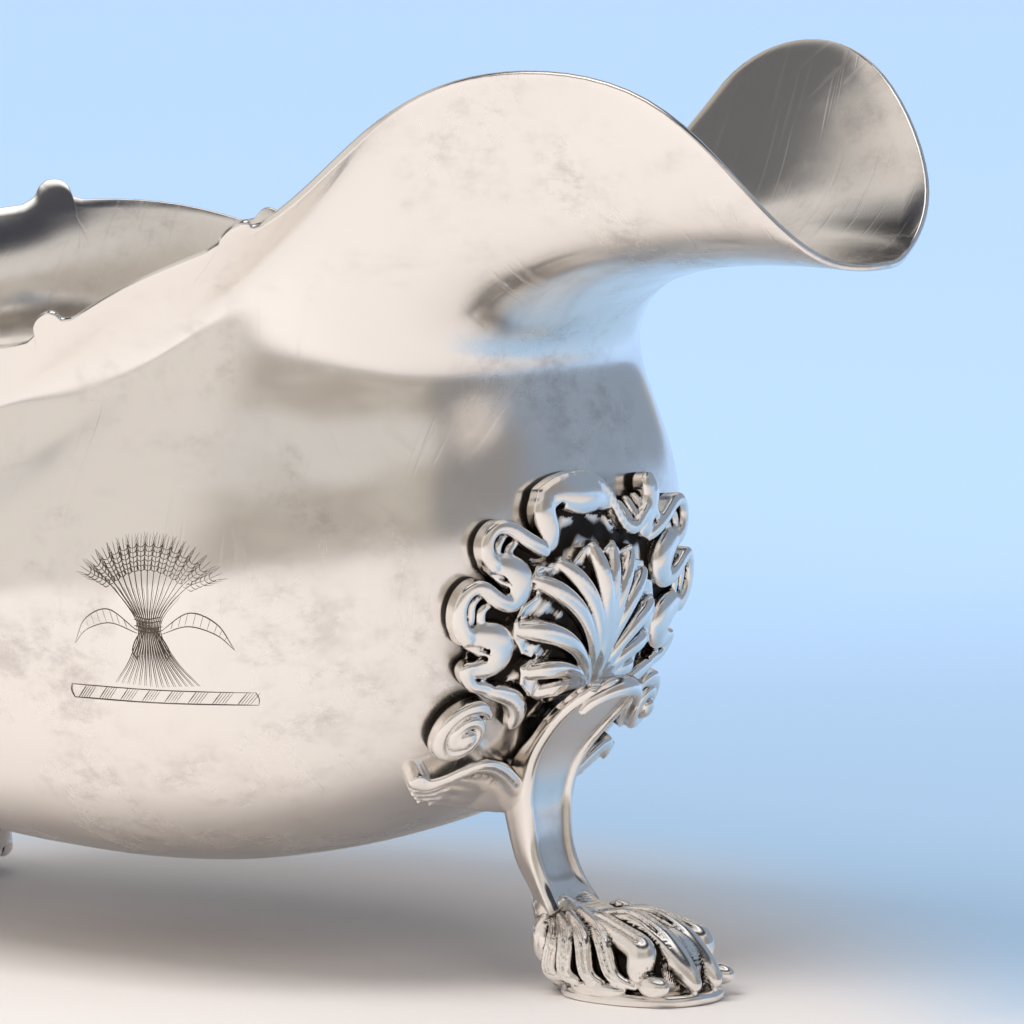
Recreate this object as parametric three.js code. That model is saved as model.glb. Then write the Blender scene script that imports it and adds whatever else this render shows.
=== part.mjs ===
// Silver sauce boat on three shell-knee paw feet. Millimetres, +Z up, spout along +X, table at Z = 0.
import * as THREE from "three";

// ---------------------------------------------------------------- driving dimensions
const SHIFT_X = -7.08; // moves the bowl so that the whole boat is centred on the origin
const WALL = 1.0; // raised sheet silver
const LIP = 0.7; // how far the rounded rim stands above the edge of the sheet
const GAP = 0.3; // clearance between soldered pieces
const PLAN_SQUARENESS = 2.5; // superellipse exponent of the bowl in plan
const BOWL_FLOOR_Z = 12.5; // underside of the bowl above the table
const COLUMN_ANGLE = 15; // degrees between the bowl's control columns

// Bowl rows under the waist: half length, half width, height at the front, the side and the rear.
const KEEL = { a: 14.5, b: 11.4, zf: 12.5, zs: 12.5, zr: 12.5 };
const BILGE = { a: 43.3, b: 34.1, zf: 17.7, zs: 17.7, zr: 17.7 };
const TURN = { a: 67.2, b: 53.0, zf: 35.3, zs: 35.3, zr: 35.3 };
const BELLY = { a: 71.1, b: 56.0, zf: 77.5, zs: 62.1, zr: 64.1 };
const WAIST = { a: 56.2, b: 43.2 };
const WAIST_Z = [88.9, 88.9, 88.9, 86.9, 84.9, 76.4, 68, 68.5, 69, 70.5, 72, 72, 72];
// Flare and rim rows, one entry every 15 degrees from the spout round to the handle.
const FLARE = [
  [88.5, 0, 101.8], [86.5, 11, 102.3], [79.5, 22, 104.8], [70, 30, 112], [59, 34, 111],
  [49, 37, 104], [39, 40.5, 96], [21, 43, 88.5], [2, 43.5, 77], [-19, 41, 84],
  [-39, 33, 88], [-53, 18, 87], [-58.5, 0, 86.5],
];
const RIM = [
  [118.5, 0, 101], [114.5, 8.5, 100.5], [112.5, 20.5, 109], [98.5, 26, 127], [77.5, 35.5, 128],
  [62.5, 38, 121.5], [49.5, 43, 104.5], [26, 48, 98], [3, 46.5, 81.5], [-22, 43.5, 96],
  [-45, 35.5, 99], [-60.5, 19.5, 95.5], [-66, 0, 95],
];
// Cut ears of the rim: column position, and which way the steep side faces (1 = to the handle).
const EARS = [
  { at: 6.29, steep: 1 },
  { at: 7.6, steep: 1 },
  { at: 8.97, steep: -1 },
  { at: 10.35, steep: 1 },
];
// One ear as a run of (distance along the rim, height above it).
const EAR_CUT = [
  [-5.4, 0], [-3.3, 1.0], [-2.0, 2.6], [-0.5, 3.5], [1.2, 3.3], [2.1, 2.1], [2.0, 0.8], [3.6, 0],
];

const EDGE_FROM = 0.86; // share of the wall's height above which the ears are drawn out

// Legs: the bowl column each knee stands on and the way it faces.
const REAR_COLUMN = 10.35;
const REAR_AZIMUTH = 160;
const TRIM = { from: 10, share: 0.4 }; // the rear knees are drawn in where they meet at the back
const SHANK_STAND_OFF = 0.6; // behind the shank, under the knee
const KNEE_STAND_OFF = 2.8; // behind the shank, over the ground of the knee frame
const KNEE_REACH = 67; // from a leg's own origin out to the bowl at knee height
const KNEE_Z = 50;
const LEGS = [
  { name: "front", column: 0, azimuth: 0, inner: 0 },
  { name: "rear_left", column: REAR_COLUMN, azimuth: REAR_AZIMUTH, inner: 1 },
  { name: "rear_right", column: -REAR_COLUMN, azimuth: -REAR_AZIMUTH, inner: -1 },
];
const PLATE_TOP = 1.6; // ground of the knee frame above the bowl
const SEAT = 0.55; // its underside above the bowl
const SHELL = { z: 45.0, side: 14.6, top: 16.0, sweep: 100, flutes: 8, squat: 0.45, relief: 0.45, back: 2.3 };
const SOLE = { r: 77.2, a: 11.5, b: 9.2, h: 1.6 };
const PAW_SQUARENESS = 2.4;
const SOLE_SQUARENESS = 2.3;
const ANKLE_Z = 12.3;

// ---------------------------------------------------------------- bowl surface
const COLUMNS = 180 / COLUMN_ANGLE + 1;
const SIDE_COLUMN = (COLUMNS - 1) / 2;
const mix = (a, b, f) => a + (b - a) * f;
const clamp = (v, lo, hi) => Math.min(hi, Math.max(lo, v));
const smooth = (v) => {
  const u = clamp(v, 0, 1);
  return u * u * (3 - 2 * u);
};
const superellipse = (c, s, power) => (Math.abs(c) ** power + Math.abs(s) ** power) ** (-1 / power);

function ovalRow({ a, b, zf, zs, zr }, zList) {
  return Array.from({ length: COLUMNS }, (_, k) => {
    const th = (k * COLUMN_ANGLE * Math.PI) / 180;
    const c = Math.cos(th);
    const s = k === COLUMNS - 1 ? 0 : Math.sin(th);
    const r = superellipse(c, s, PLAN_SQUARENESS);
    const even = k <= SIDE_COLUMN ? mix(zf, zs, k / SIDE_COLUMN) : mix(zs, zr, (k - SIDE_COLUMN) / SIDE_COLUMN);
    const z = zList ? zList[k] : even;
    return [a * c * r, b * s * r, z];
  });
}
const POLE = { a: 0, b: 0, zf: BOWL_FLOOR_Z, zs: BOWL_FLOOR_Z, zr: BOWL_FLOOR_Z };
const NET = [
  ovalRow(POLE), ovalRow(KEEL), ovalRow(BILGE), ovalRow(TURN), ovalRow(BELLY), ovalRow(WAIST, WAIST_Z), FLARE, RIM,
];

const DEGREE = 3;
const KNOTS = (() => {
  const spans = NET.length - DEGREE;
  const inner = Array.from({ length: spans + 1 }, (_, i) => i / spans);
  return [...Array(DEGREE).fill(0), ...inner, ...Array(DEGREE).fill(1)];
})();
function rowWeights(t) {
  t = clamp(t, 0, 1 - 1e-9);
  let w = KNOTS.slice(0, -1).map((k, i) => (t >= k && t < KNOTS[i + 1] ? 1 : 0));
  for (let d = 1; d <= DEGREE; d++)
    w = w.slice(0, -1).map((_, i) => {
      const l = KNOTS[i + d] - KNOTS[i];
      const r = KNOTS[i + d + 1] - KNOTS[i + 1];
      const rising = l > 0 ? ((t - KNOTS[i]) / l) * w[i] : 0;
      const falling = r > 0 ? ((KNOTS[i + d + 1] - t) / r) * w[i + 1] : 0;
      return rising + falling;
    });
  return w;
}
// Point of the outer surface. t runs pole to rim, x round the bowl (0 spout, +-12 handle).
function bowl(t, x) {
  const last = COLUMNS - 1;
  x = ((x % (2 * last)) + 2 * last) % (2 * last);
  const side = x > last ? -1 : 1;
  if (x > last) x = 2 * last - x;
  const i = Math.min(Math.floor(x), last - 1);
  const f = x - i;
  const cw = [
    (1 - f) ** 3 / 6,
    (3 * f ** 3 - 6 * f * f + 4) / 6,
    (-3 * f ** 3 + 3 * f * f + 3 * f + 1) / 6,
    f ** 3 / 6,
  ];
  const rw = rowWeights(t);
  let X = 0;
  let Y = 0;
  let Z = 0;
  cw.forEach((w, j) => {
    let k = i - 1 + j;
    const s = k < 0 || k > last ? -1 : 1;
    k = Math.abs(k);
    if (k > last) k = 2 * last - k;
    NET.forEach((row, r) => {
      X += w * rw[r] * row[k][0];
      Y += s * w * rw[r] * row[k][1];
      Z += w * rw[r] * row[k][2];
    });
  });
  return new THREE.Vector3(X, side * Y, Z);
}
const STEP = 1e-3;
const along = (t, x) => bowl(Math.min(t + STEP, 1), x).sub(bowl(Math.max(t - STEP, 0), x));
const across = (t, x) => bowl(t, x + STEP).sub(bowl(t, x - STEP));
function outward(t, x) {
  if (t < 2e-3) return new THREE.Vector3(0, 0, -1);
  return across(t, x).cross(along(t, x)).normalize();
}

// ---------------------------------------------------------------- mesh helpers
const BRIGHT = 0xcfcac2;
const CAST = 0xa79f93;
const OXIDISED = 0x8d8478;
const silver = (roughness, color = BRIGHT) => new THREE.MeshStandardMaterial({ color, metalness: 1, roughness });
const root = new THREE.Group();
root.name = "sauce_boat";

function addMesh(name, points, faces, material) {
  const geometry = new THREE.BufferGeometry();
  const flat = points.flatMap((p) => [p.x + SHIFT_X, p.y, p.z]);
  geometry.setAttribute("position", new THREE.Float32BufferAttribute(flat, 3));
  geometry.setIndex(faces.flat());
  geometry.computeVertexNormals();
  const mesh = new THREE.Mesh(geometry, material);
  mesh.name = name;
  root.add(mesh);
}
// Closed skin over rings of equal length: fans at both ends, the volume decides which way it faces.
function skin(name, rings, material) {
  const n = rings[0].length;
  const points = rings.flat();
  const faces = [];
  for (let i = 0; i + 1 < rings.length; i++)
    for (let j = 0; j < n; j++) {
      const a = i * n + j;
      const b = i * n + ((j + 1) % n);
      faces.push([a, b, b + n], [a, b + n, a + n]);
    }
  const cap = (first, ring, turn) => {
    const mid = points.length;
    points.push(ring.reduce((s, p) => s.add(p), new THREE.Vector3()).divideScalar(n));
    for (let j = 0; j < n; j++) {
      const a = first + j;
      const b = first + ((j + 1) % n);
      faces.push(turn ? [mid, b, a] : [mid, a, b]);
    }
  };
  cap(0, rings[0], true);
  cap((rings.length - 1) * n, rings.at(-1), false);
  const wedge = ([a, b, c]) => points[a].dot(points[b].clone().cross(points[c]));
  const volume = faces.reduce((sum, face) => sum + wedge(face), 0);
  if (volume < 0) faces.forEach((f) => f.reverse());
  addMesh(name, points, faces, material);
}
// Piecewise-linear read of a list of [position, value, value...] entries.
function read(list, s) {
  if (s <= list[0][0]) return list[0].slice(1);
  for (let i = 1; i < list.length; i++)
    if (s <= list[i][0]) {
      const f = (s - list[i - 1][0]) / (list[i][0] - list[i - 1][0]);
      return list[i].slice(1).map((v, k) => mix(list[i - 1][k + 1], v, f));
    }
  return list.at(-1).slice(1);
}
const steps = (n, from = 0, to = 1) => Array.from({ length: n + 1 }, (_, i) => mix(from, to, i / n));
const turns = (n) => steps(n, 0, 2 * Math.PI).slice(0, n);

// ---------------------------------------------------------------- bowl
function rimColumns() {
  const list = [];
  const spans = [];
  for (const side of [1, -1])
    for (const { at, steep } of EARS) {
      const pace = across(1, at).length() / (2 * STEP);
      const cut = EAR_CUT.map(([s, h]) => ({ top: at + (steep * s) / pace, h }));
      if (steep < 0) cut.reverse();
      const lo = cut[0].top;
      const hi = cut.at(-1).top;
      spans.push([side * lo, side * hi].sort((a, b) => a - b));
      cut.forEach((c, i) => {
        const low = side * mix(lo, hi, i / (cut.length - 1));
        list.push({ low, top: side * c.top, h: c.h });
      });
    }
  const half = COLUMNS - 1;
  const inEar = (x) => spans.some(([lo, hi]) => x > lo - 0.2 && x < hi + 0.2);
  for (let x = -half; x < half; x += 0.5) if (!inEar(x)) list.push({ low: x, top: x, h: 0 });
  return list.sort((a, b) => a.low - b.low);
}
function buildBowl() {
  const columns = rimColumns();
  const point = (t, c, depth) => {
    const w = smooth((t - EDGE_FROM) / (1 - EDGE_FROM));
    const x = mix(c.low, c.top, w);
    const lift = along(t, x).normalize().multiplyScalar(c.h * w);
    return bowl(t, x).add(lift).addScaledVector(outward(t, x), -depth);
  };
  const outer = [0.06, 0.15, 0.24, 0.33, 0.43, 0.53, 0.63, 0.72, 0.8, 0.87, 0.94, 1];
  const inner = [1, 0.93, 0.85, 0.75, 0.64, 0.5, 0.36, 0.22, 0.09];
  const rings = outer.map((t) => columns.map((c) => point(t, c, 0)));
  rings.push(columns.map((c) => point(1, c, WALL / 2).addScaledVector(along(1, c.top).normalize(), LIP)));
  inner.forEach((t) => rings.push(columns.map((c) => point(t, c, WALL))));
  skin("body", rings, silver(0.28));
}

// ---------------------------------------------------------------- legs
// A leg's own frame: r outward from its origin, y across, z up.
function frameOf(leg) {
  const a = (leg.azimuth * Math.PI) / 180;
  const out = new THREE.Vector3(Math.cos(a), Math.sin(a), 0);
  const side = new THREE.Vector3(-Math.sin(a), Math.cos(a), 0);
  let lo = 0.1;
  let hi = 0.5;
  for (let k = 0; k < 30; k++) {
    const middle = (lo + hi) / 2;
    if (bowl(middle, leg.column).z < KNEE_Z) lo = middle;
    else hi = middle;
  }
  const origin = bowl(lo, leg.column).setZ(0).addScaledVector(out, -KNEE_REACH);
  const place = (r, y, z) => origin.clone().addScaledVector(out, r).addScaledVector(side, y).setZ(z);
  // Point h above the bowl where the bowl passes (y, z) of this leg.
  const onBowl = (across, z, h) => {
    const over = across * leg.inner > TRIM.from ? Math.abs(across) - TRIM.from : 0;
    const y = across - leg.inner * TRIM.share * over;
    let t = 0.2 + z / 180;
    let x = leg.column + y / 14;
    const miss = (tt, xx) => {
      const p = bowl(tt, xx).sub(origin);
      return [p.dot(side) - y, p.z - z];
    };
    const d = 1e-4;
    for (let k = 0; k < 25; k++) {
      const [e, g] = miss(t, x);
      const [et, gt] = miss(t + d, x);
      const [ex, gx] = miss(t, x + d);
      const a11 = (et - e) / d;
      const a12 = (ex - e) / d;
      const a21 = (gt - g) / d;
      const a22 = (gx - g) / d;
      const det = a11 * a22 - a12 * a21;
      t = clamp(t - clamp((e * a22 - g * a12) / det, -0.1, 0.1), 0.04, 0.96);
      x -= clamp((a11 * g - a21 * e) / det, -1, 1);
      if (Math.hypot(e, g) < 1e-5) break;
    }
    return bowl(t, x).addScaledVector(outward(t, x), h);
  };
  const reach = (y, z, h) => onBowl(y, z, h).sub(origin).dot(out);
  return { place, onBowl, reach };
}

// Outline of the knee frame: angle from the top, half width, height.
const FRAME_EDGE = [
  [0, 0, 71.4], [14, 5.5, 71.2], [28, 10.8, 69.2], [38, 13.2, 66.0], [47, 16.2, 65.6], [58, 19.6, 65.3],
  [69, 21.9, 62.5], [76, 21.3, 58.8], [84, 24.8, 56.2], [93, 24.6, 52], [104, 22.4, 48], [118, 19.8, 43.5],
  [133, 16.5, 41], [150, 12.5, 38.6], [180, 6.5, 38.5],
];
// Its section from the back, over the raised border, to the ground: share of the outline, height.
const FRAME_SECTION = [
  [0.3, SEAT], [0.65, SEAT], [0.97, SEAT], [1, 2.0], [0.95, 4.4], [0.87, 4.9], [0.78, PLATE_TOP], [0.52, PLATE_TOP],
  [0.26, PLATE_TOP],
];
const FRAME_MID_Z = 51;
function buildFrame(leg, f) {
  const n = 36;
  const angles = steps(n, -180, 180).slice(0, n);
  const ring = ([share, h]) =>
    angles.map((q) => {
      const [y, z] = read(FRAME_EDGE, Math.abs(q));
      const half = q === -180 ? 0 : Math.sign(q) * y;
      const low = smooth((Math.abs(q) - 108) / 20); // the border dies out behind the shank
      return f.onBowl(half * share, mix(FRAME_MID_Z, z, share), mix(h, Math.min(h, PLATE_TOP), low));
    });
  skin(leg.name + "_knee_frame", FRAME_SECTION.map(ring), silver(0.45, OXIDISED));
}
// Rings of the shell fan: share of its reach, height above the bowl.
const SHELL_BACK = [0.3, 0.62, 0.93];
const SHELL_FACE = [[1, 3.4], [0.82, 5.0], [0.55, 5.6], [0.28, 4.6], [0.1, 3.4]];
function buildShell(leg, f) {
  const n = SHELL.flutes * 2;
  const sweep = (SHELL.sweep * Math.PI) / 180;
  const ring = (share, lift) => {
    const flat = lift === undefined;
    const list = steps(n, -sweep, sweep).map((a, i) => {
      const ridge = i % 2 === 0 ? 1 : -0.8;
      const grow = share > 0.9 ? 1 + 0.035 * ridge : 1;
      const rad = (SHELL.side + (SHELL.top - SHELL.side) * Math.cos(a) ** 2) * share * grow;
      const squat = Math.cos(a) < 0 ? SHELL.squat : 1;
      const h = flat ? SHELL.back : lift + SHELL.relief * ridge * share;
      return f.onBowl(Math.sin(a) * rad, SHELL.z + Math.cos(a) * rad * squat, h);
    });
    // along the foot of the fan
    const half = Math.sin(sweep) * SHELL.side * share;
    const low = Math.cos(sweep) * SHELL.side * share * SHELL.squat;
    const foot = flat ? SHELL.back : lift - 0.4 * share;
    for (const y of [0.6, 0.2, -0.2, -0.6]) list.push(f.onBowl(y * half, SHELL.z + low, foot));
    return list;
  };
  const rings = [...SHELL_BACK.map((share) => ring(share)), ...SHELL_FACE.map(([share, lift]) => ring(share, lift))];
  skin(leg.name + "_shell", rings, silver(0.35));
}
// Stations of the shank down its front: z, r, half width, depth.
const SHANK = [
  [ANKLE_Z + GAP, 65.6, 5.2, 4.2], [15, 64, 4.9, 3.9], [18.5, 62.5, 4.8, 4.0], [22.5, 61.9, 5.0, 4.6],
  [26, 61.8, 5.4, 5.2], [29.5, 62.6, 5.9, 4.6], [32.5, 64.3, 6.6, 3.2], [35.5, 66.9, 7.4, 2.9],
  [38, 69.4, 7.8, 2.6], [40.2, 71.8, 7.2, 2.6], [41.6, 73.4, 6.0, 2.4],
];
const PANEL = 0.7; // depth of the panel between the two edge ridges
const RIDGE = { chamfer: 0.7, top: 1.7, foot: 2.3, drop: 0.9 };
const KNEE_FROM = 37;
const UNDER_BOWL = 21;
function shankSection(w, d, panel) {
  const { chamfer, top, foot, drop } = RIDGE;
  return [
    [-w, -drop], [-w + chamfer, 0], [-w + top, 0], [-w + foot, -panel],
    [w - foot, -panel], [w - top, 0], [w - chamfer, 0], [w, -drop],
    [w - 0.4, 1.0 - d], [w - 1.8, -d], [-w + 1.8, -d], [-w + 0.4, 1.0 - d],
  ];
}
function buildShank(leg, f) {
  const last = SHANK.length - 1;
  const rings = SHANK.map(([z, r, w, d], i) => {
    const middle = i === last ? 0.5 : 1;
    const rise = i === 0 ? 0 : middle;
    const next = SHANK[Math.min(i + 1, last)];
    const prev = SHANK[Math.max(i - 1, 0)];
    const dr = next[1] - prev[1];
    const dz = next[0] - prev[0];
    const l = Math.hypot(dr, dz);
    const nr = i === 0 ? 1 : dz / l; // across the shank, outward
    const nz = i === 0 ? 0 : -dr / l;
    return shankSection(w, d, PANEL * rise).map(([y, e]) => {
      const back = z + nz * e;
      const clear = back > KNEE_FROM ? KNEE_STAND_OFF : SHANK_STAND_OFF;
      const reach = back > UNDER_BOWL ? Math.max(r + nr * e, f.reach(y, back, clear)) : r + nr * e;
      return f.place(reach, y, back);
    });
  });
  skin(leg.name + "_shank", rings, silver(0.3));
}
// Side scroll of the knee: a cuffed leaf from the shank onto the bowl, ending under a snail volute.
// Its edges from the shank outwards: share, y, z, height above the bowl.
const LEAF_TOP = [
  [0, 6.4, 30.6, 4.6], [0.3, 9.5, 31.2, 3.6], [0.6, 14, 31.4, 2.8], [0.85, 20, 32.6, 2.6], [1, 25, 33.2, 1.6],
];
const LEAF_LOW = [
  [0, 6.2, 23.4, 5.6], [0.3, 10, 24.0, 3.2], [0.6, 14.5, 25.6, 2.4], [0.85, 19.5, 28.0, 2.2], [1, 23.8, 30.6, 1.6],
];
const LEAF_THICK = { root: 2.6, tip: 1.3 };
const VOLUTE = { y: 17.4, z: 36.1, wide: 1.28, lean: 0.25, tall: 0.86, points: 14 };
// Section of the volute from its back to the eye: radius, height above the bowl.
const VOLUTE_SECTION = [[2, GAP], [4.0, GAP], [4.1, 2.6], [3.5, 4.5], [2.4, 3.3], [1.7, 3.4], [1.3, 5.2]];
function buildScroll(leg, f, side) {
  const hand = side > 0 ? "left" : "right";
  const rings = steps(8).map((s) => {
    const [y0, z0, h0] = read(LEAF_LOW, s);
    const [y1, z1, h1] = read(LEAF_TOP, s);
    const thick = mix(LEAF_THICK.root, LEAF_THICK.tip, s);
    const at = (v, h) => f.onBowl(side * mix(y0, y1, v), mix(z0, z1, v), h);
    const bulge = (v) => 0.5 * Math.sin(Math.PI * v) + 0.25 * Math.cos(4 * Math.PI * v) * s;
    const face = steps(4).map((v) => at(v, mix(h0, h1, v) + bulge(v)));
    const back = steps(4).map((v) => at(v, Math.max(GAP, mix(h0, h1, v) - thick)));
    return [...face, ...back.reverse()];
  });
  skin(`${leg.name}_leaf_${hand}`, rings, silver(0.35));
  const ring = ([r, h]) =>
    turns(VOLUTE.points).map((q) => {
      const y = VOLUTE.y + r * (Math.cos(q) * VOLUTE.wide - Math.sin(q) * VOLUTE.lean);
      return f.onBowl(side * y, VOLUTE.z + r * Math.sin(q) * VOLUTE.tall, h);
    });
  skin(`${leg.name}_volute_${hand}`, VOLUTE_SECTION.map(ring), silver(0.35));
}
// Slices of the paw: height, rear and front reach, half width, depth of the gaps between toes.
const PAW = [
  [SOLE.h + GAP, 66.2, 88.0, 8.5, 0], [4.2, 65.2, 89.2, 9.0, 0.9], [6.6, 64.0, 87.2, 8.7, 1.2],
  [8.8, 62.9, 82.4, 7.8, 0.5], [10.8, 62.0, 77.6, 6.8, 0], [ANKLE_Z, 61.7, 73.0, 5.9, 0],
];
const TOE_PACE = 8;
function buildPaw(leg, f) {
  const slice = ([z, rear, front, half, gap]) =>
    turns(28).map((q) => {
      const c = Math.cos(q);
      const s = Math.sin(q);
      const toe = gap * Math.max(0, c) * (Math.cos(q * TOE_PACE) - 1) * 0.5;
      const grow = superellipse(c, s, PAW_SQUARENESS);
      return f.place((rear + front) / 2 + ((front - rear) / 2) * c * grow + toe, half * s * grow, z);
    });
  skin(leg.name + "_paw", PAW.map(slice), silver(0.4, CAST));
}
const SOLE_SECTION = [[0.5, 0], [0, 0.6], [0, SOLE.h]]; // how far it is drawn in, height
function buildSole(leg, f) {
  const ring = ([inset, z]) =>
    turns(24).map((q) => {
      const c = Math.cos(q);
      const s = Math.sin(q);
      const grow = superellipse(c, s, SOLE_SQUARENESS);
      return f.place(SOLE.r + (SOLE.a - inset) * c * grow, (SOLE.b - inset) * s * grow, z);
    });
  skin(leg.name + "_sole", SOLE_SECTION.map(ring), silver(0.3));
}

// ---------------------------------------------------------------- handle
// A tapering bar swept along a curve in the XZ plane: knots are x, z, half width, half depth.
function sweepBar(name, knots, segments, around, material, ridge = 0) {
  const line = knots.map(([x, z]) => new THREE.Vector3(x, 0, z));
  const curve = new THREE.CatmullRomCurve3(line, false, "centripetal");
  const rings = steps(segments).map((u) => {
    const p = curve.getPoint(u);
    const d = curve.getTangent(u);
    const s = u * (knots.length - 1);
    const i = Math.min(Math.floor(s), knots.length - 2);
    const w = mix(knots[i][2], knots[i + 1][2], s - i);
    const h = mix(knots[i][3], knots[i + 1][3], s - i);
    return turns(around).map((q) => {
      const lobe = 1 + ridge * Math.cos(q * 4);
      const rise = Math.sin(q) * h * lobe;
      return new THREE.Vector3(p.x - d.z * rise, Math.cos(q) * w * lobe, p.z + d.x * rise);
    });
  });
  skin(name, rings, material);
}
const UPPER = [
  [-63.2, 86.2, 3.0, 1.9], [-68.6, 89.2, 3.1, 2.2], [-72.4, 96.2, 3.2, 2.5], [-73.8, 104.0, 3.5, 2.8],
  [-77.4, 111.4, 3.8, 3.1], [-84.6, 115.2, 4.0, 3.2], [-92.0, 112.4, 3.9, 3.1], [-96.2, 105.6, 3.6, 2.9],
  [-96.2, 97.6, 3.3, 2.7], [-92.2, 91.2, 3.0, 2.4], [-86.2, 89.2, 2.7, 2.1], [-82.4, 92.6, 2.4, 1.8],
  [-83.6, 96.4, 2.6, 1.7], [-86.4, 96.2, 2.2, 1.3],
];
const LOWER = [
  [-69.3, 65.9, 2.5, 1.9], [-72.9, 64.6, 2.9, 2.1], [-78.0, 64.6, 3.0, 2.3], [-84.4, 67.6, 3.1, 2.4],
  [-89.4, 73.0, 3.0, 2.3], [-92.6, 79.6, 2.8, 2.1], [-93.6, 87.9, 2.4, 1.8],
];
const SPUR = [
  [-82.6, 62.8, 2.2, 1.2], [-89.0, 62.9, 2.3, 1.7], [-93.6, 66.4, 2.2, 1.7], [-95.2, 71.4, 2.0, 1.5],
  [-93.6, 74.6, 1.7, 1.2],
];
const LEAF = [
  [-72.0, 111.2, 1.6, 0.8], [-75.2, 115.4, 3.8, 0.9], [-83.6, 119.5, 5.4, 1.0], [-92.6, 117.6, 5.2, 1.0],
  [-98.6, 110.6, 4.2, 0.9], [-100.8, 103.4, 3.0, 0.9], [-102.6, 99.6, 1.4, 0.8],
];
const LEAF_RIDGE = 0.06;
function buildHandle() {
  sweepBar("handle_upper_scroll", UPPER, 30, 10, silver(0.28));
  sweepBar("handle_lower_scroll", LOWER, 14, 10, silver(0.28));
  sweepBar("handle_spur", SPUR, 10, 8, silver(0.3));
  sweepBar("handle_leaf_cap", LEAF, 12, 8, silver(0.35), LEAF_RIDGE);
}
// Oval leaf plates that carry the two ends of the handle.
const MOUNTS = [
  { name: "handle_lower_mount", z: 67.0, wide: 4.6, tall: 6.4 },
  { name: "handle_upper_mount", z: 87.0, wide: 4.6, tall: 5.4 },
];
const MOUNT_SECTION = [[0.5, 0.4], [1, 0.4], [1, 1.0], [0.7, 1.9], [0.42, 2.6]]; // share of the oval, height
function buildMounts() {
  const rear = frameOf({ column: COLUMNS - 1, azimuth: 180, inner: 0 });
  for (const { name, z, wide, tall } of MOUNTS) {
    const ring = ([share, h]) =>
      turns(16).map((q) => rear.onBowl(Math.cos(q) * wide * share, z + Math.sin(q) * tall * share, h));
    skin(name, MOUNT_SECTION.map(ring), silver(0.32));
  }
}

// ---------------------------------------------------------------- assembly
buildBowl();
for (const leg of LEGS) {
  const f = frameOf(leg);
  buildFrame(leg, f);
  buildShell(leg, f);
  buildShank(leg, f);
  buildScroll(leg, f, 1);
  buildScroll(leg, f, -1);
  buildPaw(leg, f);
  buildSole(leg, f);
}
buildHandle();
buildMounts();

export default root;
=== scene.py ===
"""Visual model of an old silver sauce boat: raised bowl, three shell-knee legs on paw feet, scroll handle."""

from __future__ import annotations

import logging
import math
from dataclasses import dataclass, field
from enum import Enum
from typing import Sequence

import bpy
import numpy as np
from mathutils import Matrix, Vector

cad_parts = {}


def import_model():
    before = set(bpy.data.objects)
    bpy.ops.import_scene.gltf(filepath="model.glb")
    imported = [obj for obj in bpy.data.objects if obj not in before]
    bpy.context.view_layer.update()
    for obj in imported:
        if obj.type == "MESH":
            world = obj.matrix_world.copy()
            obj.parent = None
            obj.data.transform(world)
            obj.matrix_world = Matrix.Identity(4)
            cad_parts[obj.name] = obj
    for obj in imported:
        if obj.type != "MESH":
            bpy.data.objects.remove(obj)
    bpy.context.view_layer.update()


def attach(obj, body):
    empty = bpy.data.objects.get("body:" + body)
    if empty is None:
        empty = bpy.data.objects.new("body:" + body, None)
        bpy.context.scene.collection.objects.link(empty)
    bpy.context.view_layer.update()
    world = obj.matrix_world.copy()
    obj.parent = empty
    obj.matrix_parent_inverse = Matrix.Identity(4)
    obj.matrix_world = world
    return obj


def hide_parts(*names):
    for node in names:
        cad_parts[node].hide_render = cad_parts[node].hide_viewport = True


LOG = logging.getLogger("sauce_boat")
MM = 0.001
SHIFT_X = -7.08  # the bowl's own frame sits this far along X of the boat's frame
Array = np.ndarray


# ---------- bowl surface
WALL = 1.0
PLAN_SQUARENESS = 2.5
COLUMNS = 13
BOWL_FLOOR = 12.5
NUDGE = 1e-3  # parameter step for the surface's directions
KEEL = (14.5, 11.4, 12.5, 12.5, 12.5)  # half length, half width, height at the front, the side and the rear
BILGE = (43.3, 34.1, 17.7, 17.7, 17.7)
TURN = (67.2, 53.0, 35.3, 35.3, 35.3)
BELLY = (71.1, 56.0, 77.5, 62.1, 64.1)
WAIST = (56.2, 43.2, 0.0, 0.0, 0.0)
WAIST_Z = (88.9, 88.9, 88.9, 86.9, 84.9, 76.4, 68, 68.5, 69, 70.5, 72, 72, 72)
FLARE = (
    (88.5, 0, 101.8), (86.5, 11, 102.3), (79.5, 22, 104.8), (70, 30, 112), (59, 34, 111), (49, 37, 104),
    (39, 40.5, 96), (21, 43, 88.5), (2, 43.5, 77), (-19, 41, 84), (-39, 33, 88), (-53, 18, 87),
    (-58.5, 0, 86.5),
)
RIM = (
    (118.5, 0, 101), (114.5, 8.5, 100.5), (112.5, 20.5, 109), (98.5, 26, 127), (77.5, 35.5, 128),
    (62.5, 38, 121.5), (49.5, 43, 104.5), (26, 48, 98), (3, 46.5, 81.5), (-22, 43.5, 96), (-45, 35.5, 99),
    (-60.5, 19.5, 95.5), (-66, 0, 95),
)


def mix(a: Array | float, b: Array | float, f: Array | float) -> Array | float:
    """Straight blend from a to b."""
    return a + (b - a) * f


def smooth(v: Array | float) -> Array | float:
    """Smooth step of v from 0 to 1."""
    v = np.clip(v, 0.0, 1.0)
    return v * v * (3.0 - 2.0 * v)


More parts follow.
